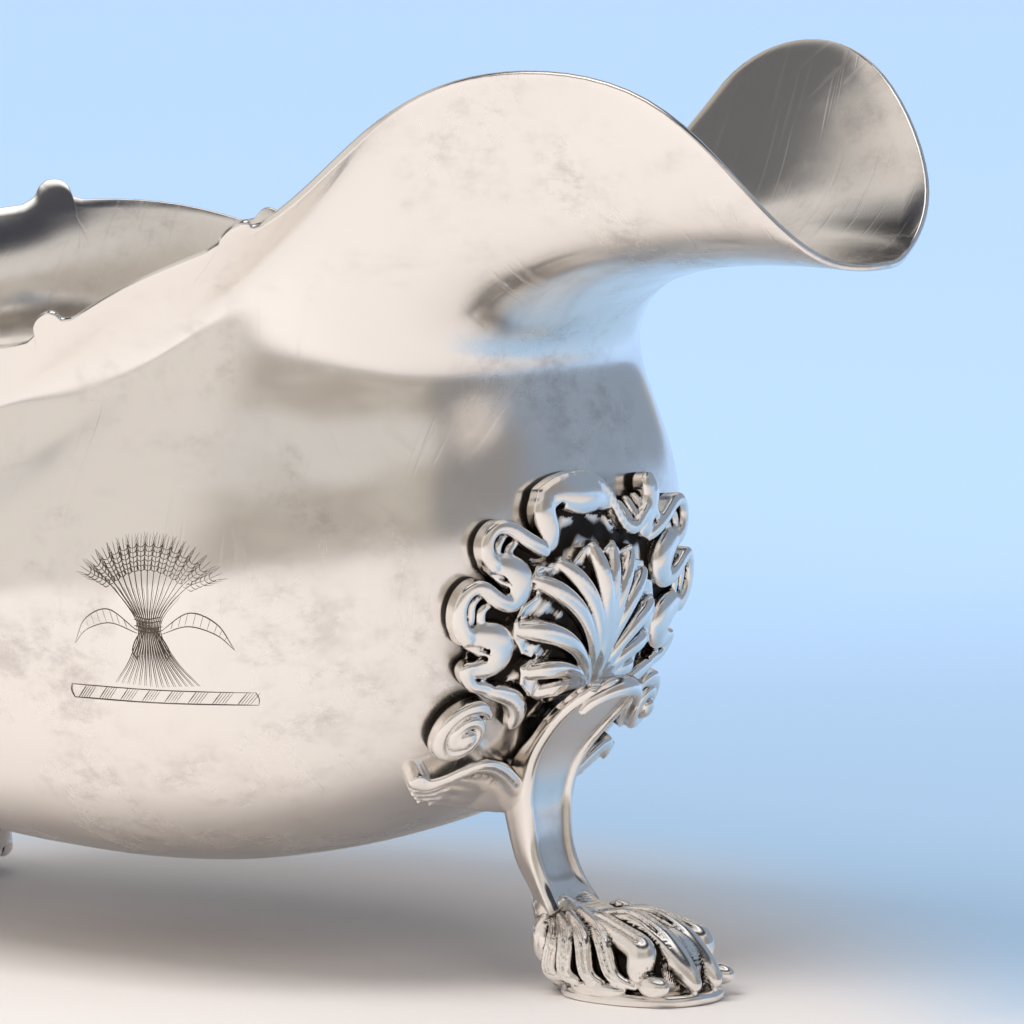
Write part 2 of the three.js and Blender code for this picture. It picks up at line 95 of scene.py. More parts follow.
def spline(points: Sequence[Sequence[float]], count: int) -> Array:
    """A centripetal-like Catmull-Rom curve through points, sampled evenly in its parameter.

    Args:
        points: the knots, each with any number of values.
        count: how many samples to return.

    Returns:
        An array of count rows.
    """
    p = np.asarray(points, float)
    p = np.vstack([2 * p[0] - p[1], p, 2 * p[-1] - p[-2]])
    s = np.linspace(0, len(p) - 3, count)
    i = np.minimum(s.astype(int), len(p) - 4)
    f = (s - i)[:, None]
    a, b, c, d = p[i], p[i + 1], p[i + 2], p[i + 3]
    return 0.5 * (2 * b + (c - a) * f + (2 * a - 5 * b + 4 * c - d) * f**2 + (3 * b - a - 3 * c + d) * f**3)


class BowlSurface:
    """The bowl's outer surface as a bicubic spline.

    t runs from the pole to the rim, x round it (0 at the spout, 12 at the handle).
    """

    def __init__(self) -> None:
        pole = (0, 0, BOWL_FLOOR, BOWL_FLOOR, BOWL_FLOOR)
        rows = [self._oval(row) for row in (pole, KEEL, BILGE, TURN, BELLY)]
        rows += [self._oval(WAIST, WAIST_Z), np.array(FLARE, float), np.array(RIM, float)]
        self.net = np.array(rows)
        spans = len(rows) - 3
        self.knots = np.concatenate([np.zeros(3), np.linspace(0, 1, spans + 1), np.ones(3)])

    @staticmethod
    def _oval(row: Sequence[float], heights: Sequence[float] | None = None) -> Array:
        """One control row as a superellipse sampled at even angles."""
        a, b, front, side, rear = row
        th = np.radians(np.linspace(0, 180, COLUMNS))
        c, s = np.cos(th), np.sin(th)
        s[-1] = 0.0
        r = (np.abs(c) ** PLAN_SQUARENESS + np.abs(s) ** PLAN_SQUARENESS) ** (-1 / PLAN_SQUARENESS)
        even = np.interp(np.arange(COLUMNS), [0, COLUMNS // 2, COLUMNS - 1], [front, side, rear])
        z = even if heights is None else np.array(heights, float)
        return np.stack([a * c * r, b * s * r, z], -1)

    def _row_weights(self, t: Array) -> Array:
        """B-spline weights of every control row, by the Cox-de Boor recurrence."""
        k, t = self.knots, np.clip(t, 0, 1 - 1e-9)
        w = [((t >= k[i]) & (t < k[i + 1])).astype(float) for i in range(len(k) - 1)]
        for d in (1, 2, 3):
            new = []
            for i in range(len(w) - 1):
                lo, hi = k[i + d] - k[i], k[i + d + 1] - k[i + 1]
                v = (t - k[i]) / lo * w[i] if lo > 0 else 0.0
                new.append(v + ((k[i + d + 1] - t) / hi * w[i + 1] if hi > 0 else 0.0))
            w = new
        return np.array([np.broadcast_to(v, t.shape) for v in w])

    def point(self, t: Array, x: Array) -> Array:
        """Points of the surface.

        Args:
            t: parameters from pole to rim.
            x: column positions, of the same shape.

        Returns:
            Points in millimetres in the bowl's frame, with a last axis of three.
        """
        t, x = np.broadcast_arrays(np.asarray(t, float), np.asarray(x, float))
        last = COLUMNS - 1
        x = np.mod(x, 2 * last)
        side = np.where(x > last, -1.0, 1.0)
        x = np.where(x > last, 2 * last - x, x)
        i = np.minimum(x.astype(int), last - 1)
        f = x - i
        early, late = (3 * f**3 - 6 * f * f + 4) / 6, (-3 * f**3 + 3 * f * f + 3 * f + 1) / 6
        cols = [(1 - f) ** 3 / 6, early, late, f**3 / 6]
        rows = self._row_weights(t)
        out = np.zeros(t.shape + (3,))
        for j, w in enumerate(cols):
            k = i - 1 + j
            s = np.where((k < 0) | (k > last), -1.0, 1.0)
            k = np.abs(k)
            k = np.where(k > last, 2 * last - k, k)
            for r in range(len(self.net)):
                p = self.net[r][k]
                wr = w * rows[r]
                out[..., 0] += wr * p[..., 0]
                out[..., 1] += wr * s * p[..., 1]
                out[..., 2] += wr * p[..., 2]
        out[..., 1] *= side
        return out

    def along(self, t: Array, x: Array) -> Array:
        """Unit direction of the surface towards the rim."""
        t = np.asarray(t)
        d = self.point(np.minimum(t + NUDGE, 1.0), x) - self.point(np.maximum(t - NUDGE, 0.0), x)
        return d / np.linalg.norm(d, axis=-1, keepdims=True)

    def outward(self, t: Array, x: Array) -> Array:
        """Unit outward normal."""
        t = np.maximum(np.asarray(t, float), 4e-3)
        across = self.point(t, np.asarray(x) + NUDGE) - self.point(t, np.asarray(x) - NUDGE)
        n = np.cross(across, self.along(t, x))
        return n / np.linalg.norm(n, axis=-1, keepdims=True)


BOWL = BowlSurface()


# ---------- leg frames
FOOT_ACROSS, FOOT_UP = (-30, 30, 31), (19, 76, 39)  # from, to and samples of the grid over a knee
FOOT_PASSES = 5
NEWTON_STEPS = 12
CLOSE_ENOUGH = 1e-4  # millimetres


class LegSite(Enum):
    """Where a leg stands: column of the bowl, azimuth in degrees, side that is drawn in (0 for none)."""

    FRONT = ("front", 0.0, 0.0, 0)
    REAR_LEFT = ("rear_left", 10.35, 160.0, 1)
    REAR_RIGHT = ("rear_right", -10.35, -160.0, -1)


@dataclass(frozen=True)
class LegFrame:
    """A leg's own frame: r outward, y across, z up; and the way from it onto the bowl."""

    name: str
    column: float
    azimuth: float
    inner: int
    reach: float = 67.0
    knee_z: float = 50.0
    trim_from: float = 10.0
    trim_share: float = 0.4

    @property
    def out(self) -> Array:
        """Unit vector outward."""
        a = math.radians(self.azimuth)
        return np.array([math.cos(a), math.sin(a), 0.0])

    @property
    def side(self) -> Array:
        """Unit vector across."""
        a = math.radians(self.azimuth)
        return np.array([-math.sin(a), math.cos(a), 0.0])

    @property
    def origin(self) -> Array:
        """The frame's origin in the bowl's frame."""
        t = np.linspace(0.1, 0.5, 4001)
        p = BOWL.point(t, np.full_like(t, self.column))
        p = p[np.abs(p[:, 2] - self.knee_z).argmin()]
        return np.array([p[0], p[1], 0.0]) - self.out * self.reach

    def place(self, p: Array) -> Array:
        """Points (r, y, z) of this frame, in the bowl's frame."""
        p = np.asarray(p, float)
        flat = self.origin + p[..., 0:1] * self.out + p[..., 1:2] * self.side
        return flat + p[..., 2:3] * np.array([0.0, 0.0, 1.0])

    def foot(self, y: Array, z: Array, gauge: float) -> tuple[Array, Array]:
        """Where a point that has (y, z) when it stands gauge above the bowl has its foot.

        Args:
            y: across, at that height.
            z: up, at that height.
            gauge: the height above the bowl.

        Returns:
            The foot's own y and z.
        """
        gy, gz = np.linspace(*FOOT_ACROSS), np.linspace(*FOOT_UP)
        yy, zz = np.meshgrid(gy, gz, indexing="ij")
        flat = np.stack([yy, zz, np.zeros_like(yy)], -1)
        high = flat.copy()
        high[..., 2] = gauge
        lift = self.on_bowl(high) - self.on_bowl(flat)
        lift = np.stack([lift @ self.side, lift[..., 2]], -1)
        fy, fz = y.copy(), z.copy()
        for _ in range(FOOT_PASSES):
            u = np.clip((fy - gy[0]) / (gy[1] - gy[0]), 0, len(gy) - 1.001)
            v = np.clip((fz - gz[0]) / (gz[1] - gz[0]), 0, len(gz) - 1.001)
            i, j = u.astype(int), v.astype(int)
            u, v = (u - i)[..., None], (v - j)[..., None]
            d = mix(mix(lift[i, j], lift[i + 1, j], u), mix(lift[i, j + 1], lift[i + 1, j + 1], u), v)
            fy, fz = y - d[..., 0], z - d[..., 1]
        return fy, fz

    def on_bowl(self, p: Array) -> Array:
        """Points (y, z, h): h above the bowl where it passes (y, z), in the bowl's frame."""
        p = np.asarray(p, float)
        y, z, h = p[..., 0].copy(), p[..., 1], p[..., 2]
        if self.inner:
            over = y * self.inner > self.trim_from
            y = np.where(over, y - self.inner * self.trim_share * (np.abs(y) - self.trim_from), y)
        t, x = 0.2 + z / 180, self.column + y / 14
        origin, side = self.origin, self.side

        def miss(tt: Array, xx: Array) -> tuple[Array, Array]:
            q = BOWL.point(tt, xx) - origin
            return q @ side - y, q[..., 2] - z

        d = 1e-4
        for _ in range(NEWTON_STEPS):
            e, g = miss(t, x)
            if max(np.abs(e).max(), np.abs(g).max()) < CLOSE_ENOUGH:
                break
            et, gt = miss(t + d, x)
            ex, gx = miss(t, x + d)
            a11, a12, a21, a22 = (et - e) / d, (ex - e) / d, (gt - g) / d, (gx - g) / d
            det = a11 * a22 - a12 * a21
            t = np.clip(t - np.clip((e * a22 - g * a12) / det, -0.1, 0.1), 0.04, 0.985)
            x = x - np.clip((a11 * g - a21 * e) / det, -1, 1)
        return BOWL.point(t, x) + BOWL.outward(t, x) * h[..., None]


# ---------- mesh making
def added(name: str, data: bpy.types.ID) -> bpy.types.Object:
    """A new object in the scene."""
    obj = bpy.data.objects.new(name, data)
    bpy.context.scene.collection.objects.link(obj)
    return obj


@dataclass
class Skin:
    """Points in millimetres in the bowl's frame, with their faces."""

    points: Array
    faces: Array | list

    def joined(self, other: Skin) -> Skin:
        """This skin and another as one."""
        n = len(self.points)
        faces = self.faces + [[i + n for i in f] for f in other.faces]
        return Skin(np.vstack([self.points, other.points]), faces)

    def build(self, name: str, node: str, slot: str, material: bpy.types.Material) -> bpy.types.Object:
        """Makes the object, puts it in the boat's frame and hides the CAD node that it stands for.

        Args:
            name: the piece's name.
            node: the CAD node that it replaces.
            slot: the record's material slot; not used.
            material: its finish.

        Returns:
            The finished object.
        """
        mesh = bpy.data.meshes.new(name)
        pts = (np.asarray(self.points, float) + np.array([SHIFT_X, 0, 0])) * MM
        faces = self.faces.tolist() if isinstance(self.faces, np.ndarray) else self.faces
        mesh.from_pydata(pts.tolist(), [], faces)
        mesh.polygons.foreach_set("use_smooth", [True] * len(mesh.polygons))
        mesh.materials.append(material)
        mesh.update()
        obj = added(name, mesh)
        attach(obj, "root")
        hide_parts(node)
        LOG.info("%s: %d faces", name, len(mesh.polygons))
        return obj


def skin_of_rings(rings: Array) -> Skin:
    """Closed skin over rings of equal length, with a fan at each end.

    Args:
        rings: array (rings, points, 3).

    Returns:
        The skin, with its faces turned outwards.
    """
    m, n, _ = rings.shape
    pts = rings.reshape(-1, 3)
    i, j = np.meshgrid(np.arange(m - 1), np.arange(n), indexing="ij")
    a = (i * n + j).ravel()
    b = (i * n + (j + 1) % n).ravel()
    quads = np.stack([a, b, b + n, a + n], -1)
    last = (m - 1) * n
    pts = np.vstack([pts, rings[0].mean(0), rings[-1].mean(0)])
    faces = quads.tolist()
    faces += [[m * n, (v + 1) % n, v] for v in range(n)]
    faces += [[m * n + 1, last + v, last + (v + 1) % n] for v in range(n)]
    c = pts.mean(0)
    q = pts[quads] - c
    volume = (q[:, 0] * (np.cross(q[:, 1], q[:, 2]) + np.cross(q[:, 2], q[:, 3]))).sum()
    if volume < 0:
        faces = [f[::-1] for f in faces]
    return Skin(pts, faces)


class Carving:
    """A block of signed distances, cut and built up like wax, then turned into a mesh by surface nets."""

    FAR = 4.0

    def __init__(self, lo: Sequence[float], hi: Sequence[float], step: float) -> None:
        self.step = step
        self.axes = [np.arange(a, b + step, step) for a, b in zip(lo, hi)]
        self.d = np.full([len(a) for a in self.axes], self.FAR, np.float32)

    def window(self, lo: Sequence[float], hi: Sequence[float]) -> tuple[tuple[slice, ...], list[Array]]:
        """The part of the block between two corners, with its open coordinate grids."""
        cut = []
        for a, l, h in zip(self.axes, lo, hi):
            i, j = int(np.searchsorted(a, l)), int(np.searchsorted(a, h))
            cut.append(slice(max(0, i), max(i + 1, j)))
        axes = [a[s] for a, s in zip(self.axes, cut)]
        return tuple(cut), list(np.meshgrid(*axes, indexing="ij", sparse=True))

    def merge(self, cut: tuple[slice, ...], d: Array, blend: float = 0.0, carve: bool = False) -> None:
        """Adds or cuts a shape.

        Args:
            cut: the window that d covers.
            d: signed distances of the shape there.
            blend: width of the fillet.
            carve: cut away instead of adding.
        """
        a = self.d[cut]
        b = -d if carve else d
        sign = -1.0 if carve else 1.0
        a2, b2 = sign * a, sign * b
        if blend > 0:
            h = np.clip(0.5 + 0.5 * (b2 - a2) / blend, 0, 1)
            r = b2 + (a2 - b2) * h - blend * h * (1 - h)
        else:
            r = np.minimum(a2, b2)
        self.d[cut] = sign * r

    def tube(self, pts: Sequence[Sequence[float]], radii: Sequence[float] | float, blend: float = 0.0,
             carve: bool = False, rooted: bool = False, samples: int = 0, flat: float = 1.0) -> None:
        """A round bar along a path, with a radius at each knot.

        Args:
            pts: knots of the path, along the middle of the bar.
            radii: one radius, or one for each knot.
            blend: fillet to what is there.
            carve: cut a groove instead.
            rooted: the bar goes straight down to the floor of the block, so that it is a wall.
            samples: spline samples between first and last knot, or 0 for straight runs.
            flat: squash of the bar's height, under 1 for a flatter one.
        """
        p = np.asarray(pts, float)
        r = np.broadcast_to(np.asarray(radii, float), (len(p),))
        if samples:
            q = spline(np.column_stack([p, r]), samples)
            p, r = q[:, :3], q[:, 3]
        for a, b, ra, rb in zip(p[:-1], p[1:], r[:-1], r[1:]):
            big = max(ra, rb) + blend + 3 * self.step
            lo, hi = np.minimum(a, b) - big, np.maximum(a, b) + big
            if rooted:
                lo[2] = self.axes[2][0] - 1
            cut, (x, y, z) = self.window(lo, hi)
            ab = b - a
            rise = 0.0 if rooted else 1.0
            length2 = ab[0] ** 2 + ab[1] ** 2 + rise * ab[2] ** 2 + 1e-9
            t = np.clip(((x - a[0]) * ab[0] + (y - a[1]) * ab[1] + rise * (z - a[2]) * ab[2]) / length2, 0, 1)
            dz = (z - a[2] - t * ab[2]) / flat
            if rooted:
                dz = np.maximum(dz, 0.0)
            dx, dy = x - a[0] - t * ab[0], y - a[1] - t * ab[1]
            self.merge(cut, np.sqrt(dx * dx + dy * dy + dz * dz) - (ra + (rb - ra) * t), blend, carve)

    def plate(self, outline: Sequence[Sequence[float]], height: Array, blend: float = 0.0) -> None:
        """A flat-bottomed plate inside an outline in the first two axes, up to a height map over them."""
        p = np.asarray(outline, float)
        x, y = np.meshgrid(self.axes[0], self.axes[1], indexing="ij")
        best = np.full(x.shape, 1e9)
        inside = np.zeros(x.shape, bool)
        for a, b in zip(p, np.roll(p, -1, axis=0)):
            ab = b - a
            t = np.clip(((x - a[0]) * ab[0] + (y - a[1]) * ab[1]) / (ab @ ab + 1e-12), 0, 1)
            best = np.minimum(best, (x - a[0] - t * ab[0]) ** 2 + (y - a[1] - t * ab[1]) ** 2)
            crosses = (a[1] > y) != (b[1] > y)
            inside ^= crosses & (x < ab[0] * (y - a[1]) / (ab[1] if ab[1] else 1e-12) + a[0])
        edge = np.sqrt(best) * np.where(inside, -1, 1)
        slope = np.sqrt(1 + sum(g**2 for g in np.gradient(height, self.step)))
        top = (self.axes[2][None, None, :] - height[..., None]) / slope[..., None]
        self.merge((slice(None),) * 3, np.maximum(edge[..., None], top), blend)

    def crowding(self, pts: Array, reach: float) -> Array:
        """How much solid lies round each point: 0.5 on a flat face, more in a hollow, less on an edge.

        Args:
            pts: points in the block's coordinates.
            reach: half width of the box that is looked at.
        """
        n = max(1, int(round(reach / self.step)))
        full = np.pad((self.d < 0).astype(np.float32), n, mode="edge")
        for ax in range(3):
            c = np.cumsum(full, axis=ax)
            c = np.insert(c, 0, 0.0, axis=ax)
            hi = np.take(c, np.arange(2 * n + 1, c.shape[ax]), axis=ax)
            lo = np.take(c, np.arange(0, c.shape[ax] - 2 * n - 1), axis=ax)
            full = (hi - lo) / (2 * n + 1)
        cells = np.rint((pts - [a[0] for a in self.axes]) / self.step).astype(int)
        i, j, k = np.clip(cells, 0, [len(a) - 1 for a in self.axes]).T
        return full[i, j, k]

    def ball(self, centre: Sequence[float], radii: Sequence[float], blend: float = 0.0, carve: bool = False,
             turn: float = 0.0) -> None:
        """An ellipsoid, turned by turn radians about the third axis."""
        c, r = np.asarray(centre, float), np.asarray(radii, float)
        big = np.array([max(r[0], r[1])] * 2 + [r[2]]) + blend + 3 * self.step
        cut, (x, y, z) = self.window(c - big, c + big)
        co, si = math.cos(turn), math.sin(turn)
        u, v = (x - c[0]) * co + (y - c[1]) * si, (y - c[1]) * co - (x - c[0]) * si
        k = np.sqrt((u / r[0]) ** 2 + (v / r[1]) ** 2 + ((z - c[2]) / r[2]) ** 2)
        g = np.sqrt((u / r[0] ** 2) ** 2 + (v / r[1] ** 2) ** 2 + ((z - c[2]) / r[2] ** 2) ** 2)
        self.merge(cut, k * (k - 1.0) / np.maximum(g, 1e-6), blend, carve)

    def mesh(self, relax: int = 1) -> tuple[Array, Array]:
        """Surface nets of the zero level.

        Args:
            relax: smoothing passes.

        Returns:
            Points in the block's own coordinates, and quads facing outwards.
        """
        d = np.pad(self.d, 1, constant_values=self.FAR)
        low = [a[0] - self.step for a in self.axes]
        inside = d < 0
        shape = tuple(n - 1 for n in d.shape)
        total = int(np.prod(shape))
        sums, counts = np.zeros((total, 3)), np.zeros(total)
        edges = []
        for ax in range(3):
            first = [slice(None)] * 3
            second = [slice(None)] * 3
            first[ax], second[ax] = slice(0, -1), slice(1, None)
            idx = np.argwhere(inside[tuple(first)] != inside[tuple(second)])
            far = idx.copy()
            far[:, ax] += 1
            va, vb = d[tuple(idx.T)], d[tuple(far.T)]
            pos = idx.astype(float)
            pos[:, ax] += va / (va - vb)
            u, v = [k for k in range(3) if k != ax]
            cells = []
            for du, dv in ((-1, -1), (0, -1), (0, 0), (-1, 0)):
                c = idx.copy()
                c[:, u] += du
                c[:, v] += dv
                flat = np.ravel_multi_index(c.T, shape)
                cells.append(flat)
                for k in range(3):
                    sums[:, k] += np.bincount(flat, pos[:, k], total)
                counts += np.bincount(flat, minlength=total)
            quad = np.stack(cells, -1)
            flip = (va < 0) if ax != 1 else (va >= 0)
            quad[~flip] = quad[~flip][:, ::-1]
            edges.append(quad)
        used = np.flatnonzero(counts)
        number = np.full(total, -1)
        number[used] = np.arange(len(used))
        pts = sums[used] / counts[used][:, None]
        quads = number[np.vstack(edges)]
        for _ in range(relax):
            ring = np.zeros_like(pts)
            n = np.zeros(len(pts))
            for a, b in ((0, 1), (1, 2), (2, 3), (3, 0)):
                for k in range(3):
                    ring[:, k] += np.bincount(quads[:, a], pts[quads[:, b], k], len(pts))
                    ring[:, k] += np.bincount(quads[:, b], pts[quads[:, a], k], len(pts))
                n += np.bincount(quads[:, a], minlength=len(pts))
                n += np.bincount(quads[:, b], minlength=len(pts))
            pts = 0.5 * pts + 0.5 * ring / n[:, None]
        return pts * self.step + np.array(low), quads


# ---------- finishes
Colour = tuple[float, float, float]


class Shade:
    """A material or the world being built: short calls for the nodes that the finishes share."""

    def __init__(self, owner: bpy.types.Material | bpy.types.World) -> None:
        owner.use_nodes = True
        self.material = owner
        self.tree = owner.node_tree
        room = isinstance(owner, bpy.types.World)
        self.bsdf = self.tree.nodes["Background" if room else "Principled BSDF"]
        self.coords = self.node("ShaderNodeTexCoord").outputs["Generated" if room else "Object"]

    def node(self, kind: str) -> bpy.types.Node:
        """Adds a node."""
        return self.tree.nodes.new(kind)

    def put(self, socket: bpy.types.NodeSocket, value: object) -> None:
        """Links value to socket if it is a socket, and sets it otherwise."""
        if isinstance(value, bpy.types.NodeSocket):
            self.tree.links.new(value, socket)
        elif isinstance(value, tuple) and socket.type == "RGBA":
            socket.default_value = (*value, 1.0)
        else:
            socket.default_value = value

    def noise(self, scale: float, detail: float = 3.0, rough: float = 0.55, stretch: Colour = (1, 1, 1),
              turn: Colour = (0, 0, 0), warp: float = 0.0) -> bpy.types.NodeSocket:
        """Noise on Object coordinates, in cells for each metre.

        Args:
            scale: cells for each metre.
            detail: octaves.
            rough: weight of the fine octaves.
            stretch: scale factors along the axes.
            turn: rotation of the pattern in radians.
            warp: distortion.
        """
        place, n = self.node("ShaderNodeMapping"), self.node("ShaderNodeTexNoise")
        place.inputs["Scale"].default_value = stretch
        place.inputs["Rotation"].default_value = turn
        self.put(place.inputs["Vector"], self.coords)
        self.put(n.inputs["Vector"], place.outputs[0])
        for key, v in (("Scale", scale), ("Detail", detail), ("Roughness", rough), ("Distortion", warp)):
            n.inputs[key].default_value = v
        return n.outputs["Fac"]

    def span(self, value: object, lo: float, hi: float, a: float = 0.0,
             b: float = 1.0) -> bpy.types.NodeSocket:
        """Maps lo..hi onto a..b with smooth ends."""
        n = self.node("ShaderNodeMapRange")
        n.interpolation_type = "SMOOTHSTEP"
        for key, v in zip(("Value", "From Min", "From Max", "To Min", "To Max"), (value, lo, hi, a, b)):
            self.put(n.inputs[key], v)
        return n.outputs["Result"]

    def math(self, kind: str, a: object, b: object = 0.0) -> bpy.types.NodeSocket:
        """A math node."""
        n = self.node("ShaderNodeMath")
        n.operation = kind
        self.put(n.inputs[0], a)
        self.put(n.inputs[1], b)
        return n.outputs[0]

    def blend(self, factor: object, a: object, b: object) -> bpy.types.NodeSocket:
        """Mix of two colours."""
        n = self.node("ShaderNodeMix")
        n.data_type = "RGBA"
        self.put(n.inputs[0], factor)
        self.put(n.inputs[6], a)
        self.put(n.inputs[7], b)
        return n.outputs[2]

    def toward(self, direction: Colour) -> bpy.types.NodeSocket:
        """Dot product of the coordinates with a direction."""
        n = self.node("ShaderNodeVectorMath")
        n.operation = "DOT_PRODUCT"
        self.put(n.inputs[0], self.coords)
        n.inputs[1].default_value = direction
        return n.outputs["Value"]

    def attribute(self, name: str) -> bpy.types.NodeSocket:
        """A float attribute of the mesh."""
        n = self.node("ShaderNodeAttribute")
        n.attribute_name = name
        return n.outputs["Fac"]

    def bump(self, height: object, strength: float, distance: float,
             below: object = None) -> bpy.types.NodeSocket:
        """A bump node, over another one where given."""
        n = self.node("ShaderNodeBump")
        n.inputs["Strength"].default_value = strength
        n.inputs["Distance"].default_value = distance
        self.put(n.inputs["Height"], height)
        if below is not None:
            self.put(n.inputs["Normal"], below)
        return n.outputs[0]


@dataclass(frozen=True)
class SilverFinish:
    """Silver as it has aged: worn bright where hands reach, smudged on the flats, black in the recesses; its
    brown tint and black also carry the painted shade that the mesh's attribute holds.
    """

    name: str
    bright: Colour = (0.93, 0.895, 0.855)
    dull: Colour = (0.70, 0.655, 0.61)
    film_and_shade: Colour = (0.33, 0.27, 0.21)
    oxide_and_shade: Colour = (0.022, 0.017, 0.014)
    roughness: float = 0.17
    smudge: float = 0.14
    scratch: float = 0.5
    ripple: float = 0.5
    black_from: float = 0.35
    black_to: float = 0.8

    def material(self) -> bpy.types.Material:
        """Builds the material.

        Returns:
            A metal whose colour, roughness and bump come from noise and from the mesh's per-vertex attribute
            of tarnish and painted shade.
        """
        s = Shade(bpy.data.materials.new(self.name))
        cloud = s.span(s.noise(34, 5, 0.62, warp=0.6), 0.42, 0.68)
        mottle = s.span(s.noise(150, 6, 0.7, (1, 1, 1.5)), 0.45, 0.7)
        darkening = s.math("MULTIPLY", cloud, mottle)
        patina_and_shade = s.attribute("patina_and_shade")
        uneven = s.math("MULTIPLY", s.math("SUBTRACT", s.noise(420, 5, 0.65), 0.5), 0.5)
        # Blackening and brown tint follow the mesh's attribute: tarnish in the hollows, and painted shade at
        # joins and undersides.
        grime_and_shade = s.span(s.math("ADD", patina_and_shade, uneven), self.black_from, self.black_to)
        film_and_shade = s.span(s.math("ADD", patina_and_shade, s.math("MULTIPLY", cloud, 0.12)), 0.12, 0.62)
        colour = s.blend(s.math("MULTIPLY", darkening, 0.72), self.bright, self.dull)
        colour = s.blend(s.math("MULTIPLY", film_and_shade, 0.62), colour, self.film_and_shade)
        colour = s.blend(grime_and_shade, colour, self.oxide_and_shade)
        hair = s.span(s.noise(900, 2, 0.5, (1, 0.05, 0.05), (0.2, 0.5, 0.9)), 0.60, 0.72)
        nick = s.span(s.noise(1100, 2, 0.5, (0.06, 1, 0.06), (0.4, 0.9, 0.3)), 0.63, 0.74)
        lines = s.math("MAXIMUM", hair, nick)
        rough = s.math("ADD", s.math("MULTIPLY", cloud, self.smudge), self.roughness)
        rough = s.math("ADD", rough, s.math("MULTIPLY", lines, 0.10 * self.scratch))
        rough = s.math("ADD", rough, s.math("MULTIPLY", grime_and_shade, 0.34))
        s.put(s.bsdf.inputs["Base Color"], colour)
        s.put(s.bsdf.inputs["Roughness"], rough)
        s.bsdf.inputs["Metallic"].default_value = 1.0
        wave = s.bump(s.noise(55, 2, 0.4), self.ripple, 0.00016)
        pores = s.bump(s.noise(1500, 3, 0.6), 0.05 + 0.2 * self.scratch, 0.00002, wave)
        s.put(s.bsdf.inputs["Normal"], s.bump(s.math("SUBTRACT", 1.0, lines), self.scratch, 0.000012, pores))
        return s.material


class Finish(Enum):
    """The finishes of this boat."""

    POLISHED = SilverFinish("polished_silver", dull=(0.60, 0.555, 0.53))
    CAST = SilverFinish(
        "cast_silver", roughness=0.16, smudge=0.08, scratch=0.35, ripple=0.8, black_from=0.42)
    GROUND = SilverFinish(
        "oxidised_silver", smudge=0.08, scratch=0.35, ripple=0.8, black_from=0.38, black_to=0.66)
    # Near-black colour given to the engraved lines.
    DARK_LINE = SilverFinish(
        "engraved_line", bright=(0.16, 0.13, 0.11), dull=(0.09, 0.075, 0.06), roughness=0.42)


class Workshop:
    """Holds each finish's material once."""

    def __init__(self) -> None:
        self.made: dict[Finish, bpy.types.Material] = {}

    def get(self, finish: Finish) -> bpy.types.Material:
        """The material of a finish."""
        if finish not in self.made:
            self.made[finish] = finish.value.material()
        return self.made[finish]


SHOP = Workshop()
POLISHED_SLOT, CAST_SLOT, GROUND_SLOT = "polished_silver", "cast_silver", "oxidised_silver"


def write_patina_and_shade(obj: bpy.types.Object, values: Array) -> None:
    """Stores each vertex's tarnish and painted shade, 0 worn bright to 1 black."""
    a = obj.data.attributes.new("patina_and_shade", "FLOAT", "POINT")
    a.data.foreach_set("value", np.clip(values, 0, 1).astype(np.float32))


def cast(skin: Skin, node: str, patina_and_shade: Array, slot: str = CAST_SLOT,
         finish: Finish = Finish.CAST) -> bpy.types.Object:
    """Makes the silver piece that stands for a node.

    Args:
        skin: its surface.
        node: the CAD node.
        patina_and_shade: tarnish and painted shade for each point.
        slot: the record's material slot.
        finish: its finish.

    Returns:
        The finished object.
    """
    obj = skin.build(f"{node}_silver", node, slot, SHOP.get(finish))
    write_patina_and_shade(obj, patina_and_shade)
    return obj


# ---------- bowl
KNEE_HALF, KNEE_MIDDLE = (24.5, 18.5), 52.0  # half width and height of a cast knee, and its middle


@dataclass(frozen=True)
class Ear:
    """A cut ear of the rim: where along the columns, and which way its steep side faces."""

    at: float
    steep: int


